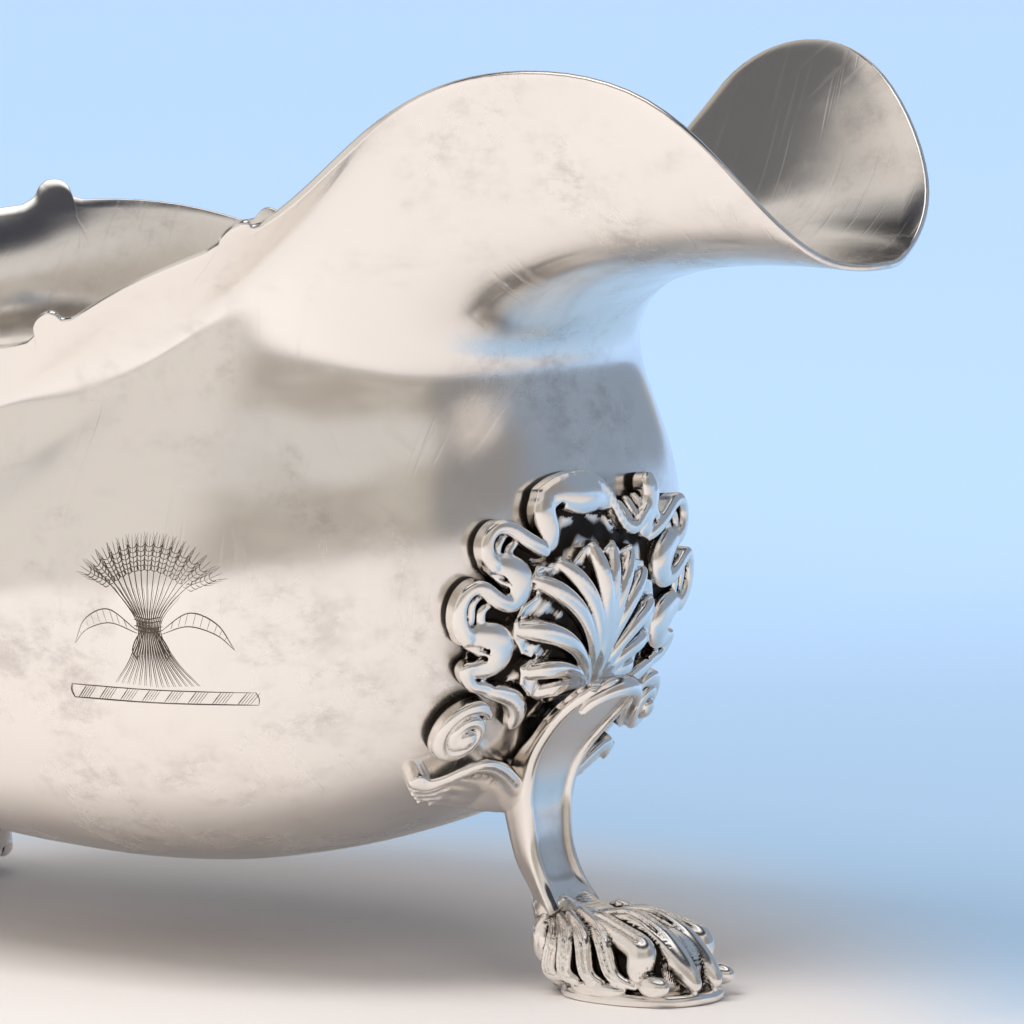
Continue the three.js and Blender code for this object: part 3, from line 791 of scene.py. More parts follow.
@dataclass
class BowlPiece:
    """The raised bowl with its cut, scrolled rim."""

    columns: int = 450
    outer_rows: int = 118
    inner_rows: int = 74
    lip: float = 0.3
    edge: float = 0.9994
    rim_rows: tuple[int, int] = (22, 14)
    ears_from: float = 0.86
    dent: float = 0.10
    ears: tuple[Ear, ...] = (Ear(6.29, 1), Ear(7.6, 1), Ear(8.97, -1), Ear(10.35, -1))
    ear_cut: tuple[tuple[float, float], ...] = (
        (-5.4, 0), (-3.3, 1.0), (-2.0, 2.6), (-0.5, 3.5), (1.2, 3.3), (2.1, 2.1), (2.0, 0.8), (3.6, 0),
    )

    def _layout(self) -> tuple[Array, Array, Array]:
        """Columns of the mesh: low position, position at the rim, and lift of the rim."""
        low: list[float] = []
        top: list[float] = []
        lift: list[float] = []
        spans: list[tuple[float, float]] = []
        for side in (1, -1):
            for ear in self.ears:
                pace = np.linalg.norm(BOWL.point(1.0, ear.at + NUDGE) - BOWL.point(1.0, ear.at - NUDGE))
                pace /= 2 * NUDGE
                cut = spline(self.ear_cut, 34)
                cut[:, 1] = np.maximum(cut[:, 1], 0.0)
                at = ear.at + ear.steep * cut[:, 0] / pace
                h = cut[:, 1]
                if ear.steep < 0:
                    at, h = at[::-1], h[::-1]
                lo, hi = at[0], at[-1]
                spans.append(tuple(sorted((side * lo, side * hi))))
                low += list(side * np.linspace(lo, hi, len(at)))
                top += list(side * at)
                lift += list(h)
        plain = self.columns - len(low)
        for x in np.linspace(-12, 12, plain, endpoint=False):
            if not any(lo - 0.02 < x < hi + 0.02 for lo, hi in spans):
                low.append(x)
                top.append(x)
                lift.append(0.0)
        order = np.argsort(low)
        return np.array(low)[order], np.array(top)[order], np.array(lift)[order]

    def _rings(self) -> Array:
        """Rings from the outer pole over the rim to the inner pole."""
        low, top, lift = self._layout()
        near, far = self.rim_rows
        outer = np.linspace(0.012, 0.9, self.outer_rows - near)
        outer = np.concatenate([outer, np.linspace(0.905, self.edge, near)])
        inner = np.linspace(0.89, 0.02, self.inner_rows - far)
        inner = np.concatenate([np.linspace(self.edge, 0.9, far), inner])

        def ring(t: float, depth: float, rise: float = 0.0) -> Array:
            w = smooth((t - self.ears_from) / (1.0 - self.ears_from))
            x = mix(low, top, w)
            tt = np.full_like(x, t)
            up, out = BOWL.along(tt, x), BOWL.outward(tt, x)
            p = BOWL.point(tt, x) + up * (lift * w)[:, None] + up * rise
            lumps = np.sin(p[:, 0] * 0.31 + 1.3 * np.sin(p[:, 2] * 0.17))
            lumps *= np.sin(p[:, 2] * 0.37 + p[:, 1] * 0.21)
            fade = 1.0 - smooth((t - 0.85) / 0.1)
            return p + out * (self.dent * 0.5 * (lumps * fade - 1.0) * fade - depth)[:, None]

        rows = [ring(t, 0.0) for t in outer]
        for q in np.radians(np.linspace(20, 160, 5)):
            rows.append(ring(self.edge, WALL / 2 * (1 - math.cos(q)), self.lip * math.sin(q)))
        rows += [ring(t, WALL) for t in inner]
        return np.array(rows)

    def build(self) -> list[bpy.types.Object]:
        """Builds the bowl."""
        rings = self._rings()
        skin = skin_of_rings(rings)
        obj = skin.build("bowl", "body", POLISHED_SLOT, SHOP.get(Finish.POLISHED))
        # Dark band round the knees: partly tarnish, partly painted shade and reflection where the bowl meets
        # them.
        darkening = self._knee_band(skin.points)
        darkening[self.outer_rows * rings.shape[1]:] = 0.0  # the inside gets no dark band
        write_patina_and_shade(obj, darkening)
        return [obj]

    def _knee_band(self, points: Array) -> Array:
        """A dark band on the bowl round each cast knee: partly tarnish that polishing leaves, partly painted
        shade and painted dark reflection next to the knee.
        """
        darkening = np.zeros(len(points))
        for leg in LEGS:
            q = points - leg.origin
            y, z, r = q @ leg.side, points[:, 2], q @ leg.out
            d = np.hypot(y / KNEE_HALF[0], (z - KNEE_MIDDLE) / KNEE_HALF[1])
            near = np.exp(-np.maximum(d - 0.93, 0) / 0.075) * (r > 40) * (d < 1.7)
            darkening = np.maximum(darkening, 0.5 * near)
        return darkening


LEGS = [LegFrame(*site.value) for site in LegSite]


# ---------- knee ornament
Path3 = tuple[tuple[float, ...], ...]


def mirrored(pts: Sequence[Sequence[float]]) -> list[list[float]]:
    """The path with its first value negated."""
    return [[-p[0], *p[1:]] for p in pts]


@dataclass(frozen=True)
class Ridge:
    """One modelled bar of the ornament: knots (y, z, h, radius), cut with ribs across it where wanted."""

    knots: Path3
    flat: float = 1.0
    ribs: int = 0
    both: bool = True
    carve: bool = False
    samples: int = 26

    def cut(self, block: Carving, blend: float = 0.35) -> None:
        """Adds the bar to the block, on both sides if it is paired."""
        for knots in [self.knots] + ([mirrored(self.knots)] if self.both else []):
            p = np.asarray(knots, float)
            block.tube(p[:, :3], p[:, 3], blend, self.carve, rooted=not self.carve, samples=self.samples,
                       flat=self.flat)
            if self.ribs:
                self._ribs(block, p)

    def _ribs(self, block: Carving, p: Array) -> None:
        """Thin cords across the bar."""
        q = spline(p, self.ribs * 8)
        for k in range(4, len(q) - 1, 8):
            run = q[k + 1, :2] - q[k - 1, :2]
            over = np.array([-run[1], run[0]]) / np.linalg.norm(run) * q[k, 3] * 0.82
            a, b = q[k, :2] - over, q[k, :2] + over
            h = q[k, 2] + q[k, 3] * self.flat
            knots = [[*a, h - 0.9], [*q[k, :2], h - 0.12], [*b, h - 0.9]]
            block.tube(knots, [0.2, 0.3, 0.2], 0.12, samples=7)


def ridge(*knots: tuple[float, ...], **options: object) -> Ridge:
    """Short way to write a Ridge."""
    return Ridge(knots, **options)


@dataclass
class Ornament:
    """A relief cut once in a knee's own (y, z, h) space, then bent onto the bowl under each leg."""

    name: str = ""
    slot: str = CAST_SLOT
    finish: Finish = Finish.CAST
    low: Colour = (0.0, 0.0, 0.0)
    high: Colour = (1.0, 1.0, 1.0)
    step: float = 0.25
    hollow_from: float = 0.5
    hollow_to: float = 0.72
    look: float = 1.1
    gauge: float = 3.2
    relief: float = 0.8
    # height under which a relief turns black: oxidised ground, and painted shade on the low walls
    black_below: float = 0.0
    paired: bool = False

    def carve(self) -> Carving:
        """Cuts the relief."""
        raise NotImplementedError

    def shaped(self) -> tuple[Array, Array, Array]:
        """Points, faces and, for each point, tarnish with painted shade, of the relief in its own space."""
        block = self.carve()
        pts, faces = block.mesh()
        crowd = 0.6 * block.crowding(pts, self.look) + 0.4 * block.crowding(pts, self.look * 2)
        patina_and_shade = smooth((crowd - self.hollow_from) / (self.hollow_to - self.hollow_from))
        # Everything below black_below goes black: the oxidised ground, and painted shade on the low walls
        # where the relief meets the bowl.
        if self.black_below:
            patina_and_shade = np.maximum(patina_and_shade, smooth((self.black_below - pts[:, 2]) / 1.0))
        return pts, faces, patina_and_shade

    def fit(self, leg: LegFrame, pts: Array, faces: Array, patina_and_shade: Array, suffix: str = "",
            turn: bool = False) -> bpy.types.Object:
        """Bends the relief onto one leg's part of the bowl.

        Args:
            leg: the leg.
            pts: points (y, z, h).
            faces: quads.
            patina_and_shade: tarnish and painted shade for each point.
            suffix: added to the piece's and node's name.
            turn: mirror the relief to the other side.
        """
        if turn:
            pts, faces = pts * np.array([-1, 1, 1]), faces[:, ::-1]
        node = f"{leg.name}_{self.name}{suffix}"
        if self.gauge:
            fy, fz = leg.foot(pts[:, 0], pts[:, 1], self.gauge)
            pts = np.stack([fy, fz, pts[:, 2]], -1)
        pts = pts * np.array([1.0, 1.0, self.relief])
        return cast(Skin(leg.on_bowl(pts), faces), node, patina_and_shade, self.slot, self.finish)

    def build(self) -> list[bpy.types.Object]:
        """One piece for each leg, or a mirrored pair."""
        shape = self.shaped()
        if not self.paired:
            return [self.fit(leg, *shape) for leg in LEGS]
        hands = (("_right", False), ("_left", True))
        return [self.fit(leg, *shape, suffix=suffix, turn=turn) for leg in LEGS for suffix, turn in hands]


@dataclass
class KneeFrame(Ornament):
    """Ruffled border of C-scrolls round a dark ground."""

    name: str = "knee_frame"
    slot: str = GROUND_SLOT
    finish: Finish = Finish.GROUND
    low: Colour = (-27.2, 34.4, -0.6)
    high: Colour = (27.2, 72.4, 6.4)
    ground: float = 1.15
    relief: float = 0.66
    black_below: float = 1.7
    ridges: tuple[Ridge, ...] = (
        ridge((-11.6, 60.9, 3.1, 0.78), (-13.4, 61.9, 3.5, 1.01), (-15.4, 63.0, 3.7, 1.01),
              (-17.7, 64.5, 3.9, 0.95), (-19.8, 65.0, 4.1, 0.84), (-21.2, 64.2, 4.1, 0.78),
              (-21.9, 62.8, 4.0, 0.84), (-21.7, 61.2, 3.8, 0.95), (-20.6, 59.8, 3.4, 1.12)),
        ridge((-18.6, 64.0, 2.6, 0.5), (-19.9, 62.6, 2.9, 0.56), (-20.2, 60.9, 2.8, 0.56)),
        ridge((-16.6, 62.6, 2.2, 0.47), (-17.9, 61.6, 2.5, 0.56), (-18.1, 60.2, 2.5, 0.56)),
        ridge((-21.0, 59.9, 2.7, 1.22), (-18.4, 59.0, 2.5, 2.16), (-16.5, 57.5, 2.3, 2.56),
              (-16.3, 55.7, 2.4, 2.29), (-17.6, 54.3, 2.8, 1.35), flat=0.8),
        ridge((-16.6, 53.9, 3.0, 0.9), (-18.2, 54.3, 3.4, 1.06), (-20.0, 55.1, 3.7, 1.06),
              (-22.0, 56.6, 4.0, 0.95), (-23.5, 57.0, 4.1, 0.84), (-24.9, 55.9, 4.1, 0.81),
              (-25.5, 53.9, 4.0, 0.87), (-25.1, 51.7, 3.8, 1.01), (-23.7, 49.9, 3.4, 1.18)),
        ridge((-22.0, 56.0, 2.6, 0.5), (-23.6, 54.6, 3.0, 0.58), (-23.5, 52.0, 2.9, 0.58)),
        ridge((-20.4, 54.4, 2.2, 0.47), (-21.8, 53.4, 2.6, 0.56), (-21.7, 51.6, 2.6, 0.56)),
        ridge((-24.2, 50.2, 2.7, 1.22), (-21.4, 49.7, 2.4, 2.16), (-19.0, 48.7, 2.2, 2.7),
              (-18.1, 47.1, 2.3, 2.56), (-19.2, 45.7, 2.6, 1.76), (-21.6, 45.2, 2.9, 1.08), flat=0.8),
        ridge((-21.3, 45.5, 3.0, 0.78), (-22.8, 45.4, 3.2, 0.78), (-22.3, 44.1, 3.2, 0.67),
              (-21.0, 42.9, 3.0, 0.67), (-19.2, 42.4, 2.7, 0.78), (-17.6, 41.8, 2.4, 0.9)),
        ridge((-20.6, 45.0, 2.0, 0.43), (-19.4, 43.6, 2.4, 0.45)),
        ridge((-18.0, 41.9, 2.5, 0.91), (-16.1, 41.4, 2.7, 1.04), (-13.4, 40.4, 2.7, 1.23),
              (-11.5, 38.6, 2.6, 1.37), (-10.9, 36.6, 2.2, 1.23), ribs=11),
        ridge((-11.2, 68.4, 3.4, 1.43), (-11.9, 66.4, 3.2, 1.76), (-11.0, 64.0, 2.8, 1.76),
              (-10.7, 62.2, 2.5, 1.56), flat=0.8, ribs=6),
        ridge((-11.6, 68.6, 3.4, 1.35), (-8.2, 68.9, 3.3, 2.29), (-4.2, 68.4, 3.1, 2.97),
              (-1.0, 67.6, 3.0, 1.76), (1.2, 66.4, 2.6, 0.94), flat=0.7, both=False),
        ridge((-12.0, 69.0, 3.3, 0.67), (-8.2, 70.4, 3.9, 0.67), (-4.4, 70.6, 4.0, 0.67),
              (-1.2, 69.6, 3.9, 0.67), (1.0, 67.9, 3.7, 0.67), (2.8, 65.6, 3.5, 0.67),
              (4.9, 63.3, 3.4, 0.78), (7.4, 62.5, 3.5, 0.9), (9.3, 64.0, 3.7, 0.78),
              (11.2, 65.0, 3.7, 0.67), (13.4, 63.4, 3.5, 0.67), both=False),
        ridge((5.0, 66.0, 1.6, 0.45), (6.6, 63.6, 2.8, 0.56), both=False),
        ridge((7.0, 66.4, 1.6, 0.45), (8.2, 64.0, 2.8, 0.56), both=False),
        ridge((9.2, 66.6, 1.6, 0.45), (9.6, 65.0, 2.8, 0.56), both=False),
    )
    slits: tuple[Ridge, ...] = (
        ridge((-9.0, 66.7, 6.4, 0.75), (-9.0, 66.7, 0.9, 0.7), carve=True, both=False, samples=0),
        ridge((-17.2, 43.2, 6.4, 0.7), (-17.2, 43.2, 0.9, 0.6), carve=True, samples=0),
        ridge((-21.4, 58.4, 3.6, 0.28), (-19.0, 57.9, 3.7, 0.34), (-17.0, 56.9, 3.6, 0.25), carve=True),
        ridge((-20.6, 56.9, 3.2, 0.25), (-18.6, 56.4, 3.5, 0.3), (-17.2, 55.5, 3.5, 0.22), carve=True),
        ridge((-23.6, 48.6, 3.5, 0.28), (-20.8, 48.2, 3.8, 0.34), (-18.6, 47.3, 3.6, 0.25), carve=True),
        ridge((-22.6, 47.0, 3.2, 0.25), (-20.4, 46.9, 3.5, 0.3), (-18.9, 46.3, 3.4, 0.22), carve=True),
    )
    outline: tuple[tuple[float, float], ...] = (
        (-11.9, 61.0), (-15.4, 62.8), (-19.8, 65.0), (-21.9, 62.6), (-20.6, 59.6), (-20.2, 57.0),
        (-23.4, 57.0), (-25.4, 53.8), (-23.8, 49.9), (-22.4, 47.4), (-22.6, 45.3), (-21.0, 42.9),
        (-17.4, 41.4), (-13.4, 40.0), (-11.4, 38.4), (-10.6, 36.2),
    )

    def carve(self) -> Carving:
        """Cuts ground, scrolls, folds and slits."""
        block = Carving(self.low, self.high, self.step)
        y, z = np.meshgrid(block.axes[0], block.axes[1], indexing="ij")
        around, away = np.arctan2(y, z - 42.0), np.hypot(y, z - 42.0)
        wave = np.sin(away * 1.15 + 1.5 * np.sin(around * 9)) * 0.22 + np.sin(around * 34 + away * 0.7) * 0.1
        top = [(-12.0, 69.0), (-8.2, 70.4), (-4.4, 70.6), (-1.2, 69.6), (1.0, 67.9), (2.8, 65.6), (7.4, 62.5),
               (9.3, 64.0), (11.2, 65.0)]
        left = list(self.outline)
        line = left[::-1] + top + [tuple(p) for p in mirrored(left)]
        block.plate(line, self.ground + wave)
        for bar in self.ridges:
            bar.cut(block)
        for slit in self.slits:
            slit.cut(block, 0.15)
        return block


@dataclass
class Shell(Ornament):
    """Scallop shell of the knee, its flutes fanning from the top of the shank."""

    name: str = "shell"
    low: Colour = (-17.6, 38.2, 0.4)
    high: Colour = (17.0, 62.8, 7.2)
    step: float = 0.2
    relief: float = 0.74
    root: tuple[float, float] = (1.0, 40.2)
    tips: tuple[tuple[float, float], ...] = (
        (-9.4, 41.0), (-12.9, 44.2), (-15.8, 50.6), (-13.6, 57.2), (-9.2, 59.2), (-2.6, 60.9),
        (2.0, 60.6), (6.6, 59.3), (10.4, 56.2), (13.4, 51.6), (13.0, 46.6), (10.6, 42.8),
    )
    fat: tuple[float, ...] = (0.95, 1.05, 1.3, 1.15, 1.1, 1.25, 1.0, 1.1, 1.1, 1.1, 1.0, 0.8)
    outline: tuple[tuple[float, float], ...] = (
        (-4.5, 39.6), (-7.4, 39.5), (-10.9, 41.0), (-13.0, 42.8), (-13.4, 44.8), (-11.6, 46.3),
        (-14.0, 47.2), (-15.9, 49.5), (-16.3, 51.5), (-15.0, 53.5), (-13.0, 54.6), (-13.8, 57.2),
        (-13.1, 58.8), (-10.6, 59.0), (-8.6, 59.7), (-6.6, 58.7), (-4.4, 60.6), (-2.3, 61.2),
        (-0.2, 59.9), (2.0, 60.9), (4.0, 59.4), (6.0, 60.0), (7.6, 57.9), (9.4, 57.4), (10.6, 54.8),
        (12.8, 54.2), (13.2, 51.4), (14.9, 50.0), (13.6, 47.6), (14.0, 46.0), (11.6, 44.6), (11.2, 42.6),
        (7.6, 40.4), (4.0, 39.6),
    )
    notches: tuple[tuple[float, float], ...] = (
        (-15.6, 52.0), (-13.3, 55.4), (-13.9, 56.4), (-11.9, 46.4), (-11.6, 59.2), (-9.9, 59.6),
        (-6.5, 59.4), (-0.2, 60.5), (4.0, 60.0), (7.8, 58.5), (10.9, 55.4), (13.5, 51.9),
    )

    profile: tuple[tuple[float, float, float], ...] = (
        (0.06, 3.6, 0.45), (0.25, 4.35, 0.6), (0.45, 4.7, 0.75), (0.65, 4.6, 0.95), (0.84, 4.0, 1.0),
        (0.985, 3.0, 0.62),
    )  # along each flute: share, height, radius

    def _flute(self, tip: tuple[float, float], fat: float) -> list[list[float]]:
        """Knots of one ridge, bowed upwards on its way from the root to the tip."""
        a, b = np.array(self.root), np.array(tip)
        run = b - a
        bow = np.array([-run[1], run[0]]) * (0.16 if run[0] < 0 else -0.16) * min(1.0, abs(run[0]) / 8)
        knots = []
        for s, h, r in self.profile:
            p = a + run * s - bow * 4 * s * (1 - s) * 0.9
            knots.append([p[0], p[1], h, r * fat])
        return knots

    def carve(self) -> Carving:
        """Cuts the fan."""
        block = Carving(self.low, self.high, self.step)
        y, z = np.meshgrid(block.axes[0], block.axes[1], indexing="ij")
        away = np.hypot(y - self.root[0], z - self.root[1])
        dome = 2.75 + 0.75 * np.cos(np.clip((away - 7) / 13, -1, 1) * 1.5) + 0.15 * np.sin(away * 2.2)
        block.plate(self.outline, dome)
        for tip, fat in zip(self.tips, self.fat):
            knots = np.array(self._flute(tip, fat))
            block.tube(knots[:, :3], knots[:, 3], 0.6, rooted=True, samples=22)
        loop = np.array(self.outline + self.outline[:1])
        rim = np.column_stack([loop, 3.0 + 0.3 * np.cos(np.arange(len(loop)) * 2.4)])
        block.tube(rim, 0.24, 0.3, rooted=True)
        for y0, z0 in self.notches:
            block.tube([[y0, z0, 7], [y0, z0, 0.8]], 0.42, 0.1, carve=True)
        for q in np.linspace(-1.0, 1.0, 7):
            a = np.array([math.sin(q) * 7.5, math.cos(q) * 7.5]) + self.root
            b = np.array([math.sin(q * 1.04) * 15.0, math.cos(q * 1.04) * 17.0]) + self.root
            block.tube([[*a, 4.6], [*b, 3.9]], 0.14, 0.12, carve=True)
        return block


@dataclass
class Volute(Ornament):
    """Snail scroll beside the knee, coiling into a round eye."""

    name: str = "volute"
    paired: bool = True
    low: Colour = (-25.0, 31.8, -0.5)
    high: Colour = (-12.6, 43.9, 6.0)
    step: float = 0.16
    gauge: float = 0.0
    black_below: float = 1.9
    centre: tuple[float, float] = (-19.1, 37.6)
    wide: float = 3.85

    def carve(self) -> Carving:
        """Cuts the coil."""
        block = Carving(self.low, self.high, self.step)
        y, z = np.meshgrid(block.axes[0], block.axes[1], indexing="ij")
        u, v = y - self.centre[0], z - self.centre[1]
        rho = np.hypot(u, v)
        n = 40
        th = np.linspace(0, 2 * math.pi, n, endpoint=False)
        disc = np.array(self.centre) + self.wide * np.stack([np.cos(th), np.sin(th)], -1)
        block.plate(disc, 1.9 + 0.9 * np.exp(-((rho - 0.5) / 2.2) ** 2))
        a = np.radians(np.linspace(28, 640, 70))
        s = np.linspace(0, 1, 70)
        reach = mix(self.wide, 1.05, s**0.8)
        path = np.stack([self.centre[0] + reach * np.cos(a), self.centre[1] + reach * np.sin(a),
                         mix(2.7, 3.9, s)], -1)
        block.tube(path, mix(0.95, 0.5, s) * np.minimum(1.0, 0.35 + s * 8), 0.25, rooted=True)
        block.ball((self.centre[0] + 0.1, self.centre[1] - 0.25, 4.1), (1.35, 1.2, 1.15), 0.25)
        return block


@dataclass
class LeafCuff(Ornament):
    """Leaf that flows from the side of the shank and ends in fingers under the volute."""

    name: str = "leaf"
    paired: bool = True
    low: Colour = (-25.4, 21.6, -0.5)
    high: Colour = (-3.6, 35.4, 7.2)
    step: float = 0.2
    gauge: float = 0.0
    relief: float = 0.9
    outline: tuple[tuple[float, float], ...] = (
        (-3.9, 29.6), (-6.2, 31.2), (-10.4, 32.8), (-13.3, 33.49), (-15.91, 32.43), (-17.71, 31.02),
        (-19.44, 30.63), (-20.97, 31.4), (-21.49, 30.7), (-20.45, 29.8), (-20.36, 29.1), (-19.13, 28.77),
        (-18.99, 28.1), (-18.08, 28.19), (-17.89, 27.39), (-17.01, 27.66), (-16.9, 26.75),
        (-15.77, 27.34), (-15.22, 26.79), (-13.58, 26.96), (-11.0, 26.6), (-8.6, 26.6), (-6.4, 26.8),
        (-4.6, 27.0), (-3.9, 27.0),
    )
    fall: tuple[tuple[float, float], ...] = (
        (4, 5.2), (6.4, 4.4), (9.5, 3.2), (14, 2.6), (20, 2.2), (25, 1.7), (27, 1.2),
    )  # distance out, height
    spine: tuple[tuple[float, float, float, float], ...] = (
        (-4.4, 29.8, 4.6, 0.6), (-9.8, 32.3, 3.3, 0.6), (-13.58, 32.96, 2.8, 0.55),
        (-17.07, 31.11, 2.3, 0.5), (-18.99, 30.2, 1.9, 0.5), (-20.88, 30.8, 1.5, 0.5),
    )
    slits: tuple[Ridge, ...] = (
        ridge((-20.62, 29.5, 1.9, 0.4), (-18.45, 29.39, 2.4, 0.4), (-16.41, 30.55, 2.7, 0.32),
              (-13.0, 31.4, 3.2, 0.12), carve=True, both=False),
        ridge((-19.2, 28.46, 1.9, 0.4), (-17.48, 28.79, 2.5, 0.4), (-15.36, 30.1, 2.9, 0.32),
              (-11.6, 29.8, 3.5, 0.12), carve=True, both=False),
        ridge((-18.08, 27.69, 1.9, 0.38), (-16.53, 28.25, 2.6, 0.36), (-14.11, 29.05, 3.0, 0.12),
              carve=True, both=False),
        ridge((-17.01, 27.06, 1.9, 0.34), (-15.36, 27.6, 2.6, 0.3), (-12.8, 27.6, 3.1, 0.1),
              carve=True, both=False),
    )

    def carve(self) -> Carving:
        """Cuts the leaf."""
        block = Carving(self.low, self.high, self.step)
        y, z = np.meshgrid(block.axes[0], block.axes[1], indexing="ij")
        at, h = zip(*self.fall)
        height = np.interp(-y, at, h)
        middle = np.interp(-y, (4, 14, 25), (28.6, 30.0, 30.4))
        half = np.interp(-y, (4, 14, 25), (4.4, 3.7, 1.5))
        crown = np.sqrt(np.clip(1 - ((z - middle) / (half * 1.25)) ** 2, 0.02, 1))
        ripple = 0.12 * np.sin(z * 4.4 + y * 0.6) * smooth((-y - 10) / 6)
        block.plate(self.outline, height * (0.55 + 0.45 * crown) + ripple)
        block.tube([k[:3] for k in self.spine], [k[3] for k in self.spine], 0.7, rooted=True, samples=30)
        for slit in self.slits:
            slit.cut(block, 0.25)
        return block


# ---------- shank, paw, sole
def swept(path: Array, up: Array, ring: Array) -> Array:
    """Rings of a bar swept along a path.

    Args:
        path: centres (m, 3).
        up: direction (m, 3) that the ring's second value follows.
        ring: offsets (m, n, 2) across the path.

    Returns:
        Points (m, n, 3).
    """
    run = np.gradient(path, axis=0)
    run /= np.linalg.norm(run, axis=1, keepdims=True)
    across = np.cross(run, up)
    across /= np.linalg.norm(across, axis=1, keepdims=True)
    rise = np.cross(across, run)
    return path[:, None] + ring[..., 0:1] * across[:, None] + ring[..., 1:2] * rise[:, None]


@dataclass
class Shank:
    """Leg's shank: a panelled strap from under the shell down to the ankle, with a rolled lip at its head."""

    stations: tuple[tuple[float, float, float, float], ...] = (
        (11.2, 66.6, 5.4, 4.6), (12.6, 65.6, 5.2, 4.2), (15.0, 64.0, 4.9, 3.9), (18.5, 62.5, 4.8, 4.8),
        (22.5, 61.9, 5.0, 5.4), (26.0, 61.8, 5.4, 5.6), (29.5, 62.6, 5.9, 4.6), (32.5, 64.3, 6.6, 3.2),
        (35.5, 66.9, 7.3, 2.9), (38.0, 69.4, 7.5, 2.6), (40.2, 71.8, 6.8, 2.4), (41.5, 73.2, 5.8, 1.9),
    )
    border: tuple[tuple[float, float], ...] = ((0.0, -0.95), (0.35, -0.2), (0.95, 0.08), (1.55, -0.12))
    panel: float = 0.62
    joins_at: float = 21.0  # height from which the strap lies against the bowl
    rings: int = 110
    around: int = 84

    def build(self) -> list[bpy.types.Object]:
        """One shank for each leg."""
        s = spline(self.stations, self.rings)
        z, r, w, d = s.T
        dz, dr = np.gradient(z), np.gradient(r)
        size = np.hypot(dz, dr)
        nr, nz = dz / size, -dr / size
        share = np.linspace(0, 1, self.rings)
        rise = self.panel * smooth((share - 0.1) / 0.12) * smooth((0.95 - share) / 0.07)
        made = []
        ring = []
        for k in range(self.rings):
            p = rise[k]
            half = [(w[k] - a, b) for a, b in self.border] + [(w[k] - 2.15, -p)]
            back = [(w[k] - 0.7, 0.5 - d[k] * 0.75), (w[k] - 1.7, 0.1 - d[k])]
            knots = [(-a, b) for a, b in half] + [(0.0, -p * 1.15)] + half[::-1]
            knots += back + [(0.0, -d[k] - 0.25)] + [(-a, b) for a, b in back[::-1]]
            loop = np.array(knots + knots[:3])
            fine = spline(loop, self.around + 12)
            span = np.concatenate([[0], np.cumsum(np.linalg.norm(np.diff(fine, axis=0), axis=1))])
            miss = np.abs(fine - np.array(knots[1])).sum(1)
            first = np.argmin(miss[: len(fine) // 3])
            last = len(fine) - 1 - np.argmin(miss[::-1][: len(fine) // 3])
            u = np.linspace(span[first], span[last], self.around, endpoint=False)
            ring.append(np.stack([np.interp(u, span, fine[:, i]) for i in (0, 1)], -1))
        ring = np.array(ring)
        y, e = ring[..., 0], ring[..., 1]
        base_r, base_z = r[:, None] + nr[:, None] * e, z[:, None] + nz[:, None] * e
        groove = smooth((0.25 - np.abs(e + self.panel * 0.9)) / 0.25) * (np.abs(y) < w[:, None] - 1.2)
        for leg in LEGS:
            low = np.maximum(base_z, self.joins_at)
            bowl = (leg.on_bowl(np.stack([y, low, np.full_like(y, 0.25)], -1)) - leg.origin) @ leg.out
            rr = np.where(base_z > self.joins_at, np.maximum(base_r, bowl), base_r)
            pts = leg.place(np.stack([rr, y, base_z], -1))
            lip = self._lip(leg)
            # Painted shade at the foot of the shank, where it goes into the paw, and faintly on its back,
            # which faces the bowl; the panel's groove gets tarnish.
            dark = 0.5 * smooth((0.12 - share) / 0.12)[:, None]
            dark = dark + 0.4 * groove + 0.08 * smooth((-e - 1.8) / 1.5)
            dark = np.concatenate([dark.ravel(), [0.3, 0.3], np.full(len(lip.points), 0.05)])
            made.append(cast(skin_of_rings(pts).joined(lip), f"{leg.name}_shank", dark))
        return made

    @staticmethod
    def _lip(leg: LegFrame) -> Skin:
        """Rolled crescent at the head of the panel."""
        half = ((71.4, 6.2, 38.6, 0.5), (72.6, 4.8, 40.4, 0.95), (73.4, 2.6, 41.5, 1.3))
        knots = [(r, -y, z, size) for r, y, z, size in half] + [(73.8, 0.0, 41.9, 1.5), *half[::-1]]
        s = spline(knots, 46)
        q = np.linspace(0, 2 * math.pi, 18, endpoint=False)
        ring = np.stack([np.cos(q)[None] * s[:, 3:4], np.sin(q)[None] * s[:, 3:4] * 0.8], -1)
        return skin_of_rings(leg.place(swept(s[:, :3], np.broadcast_to([1.0, 0.0, 0.6], (46, 3)), ring)))


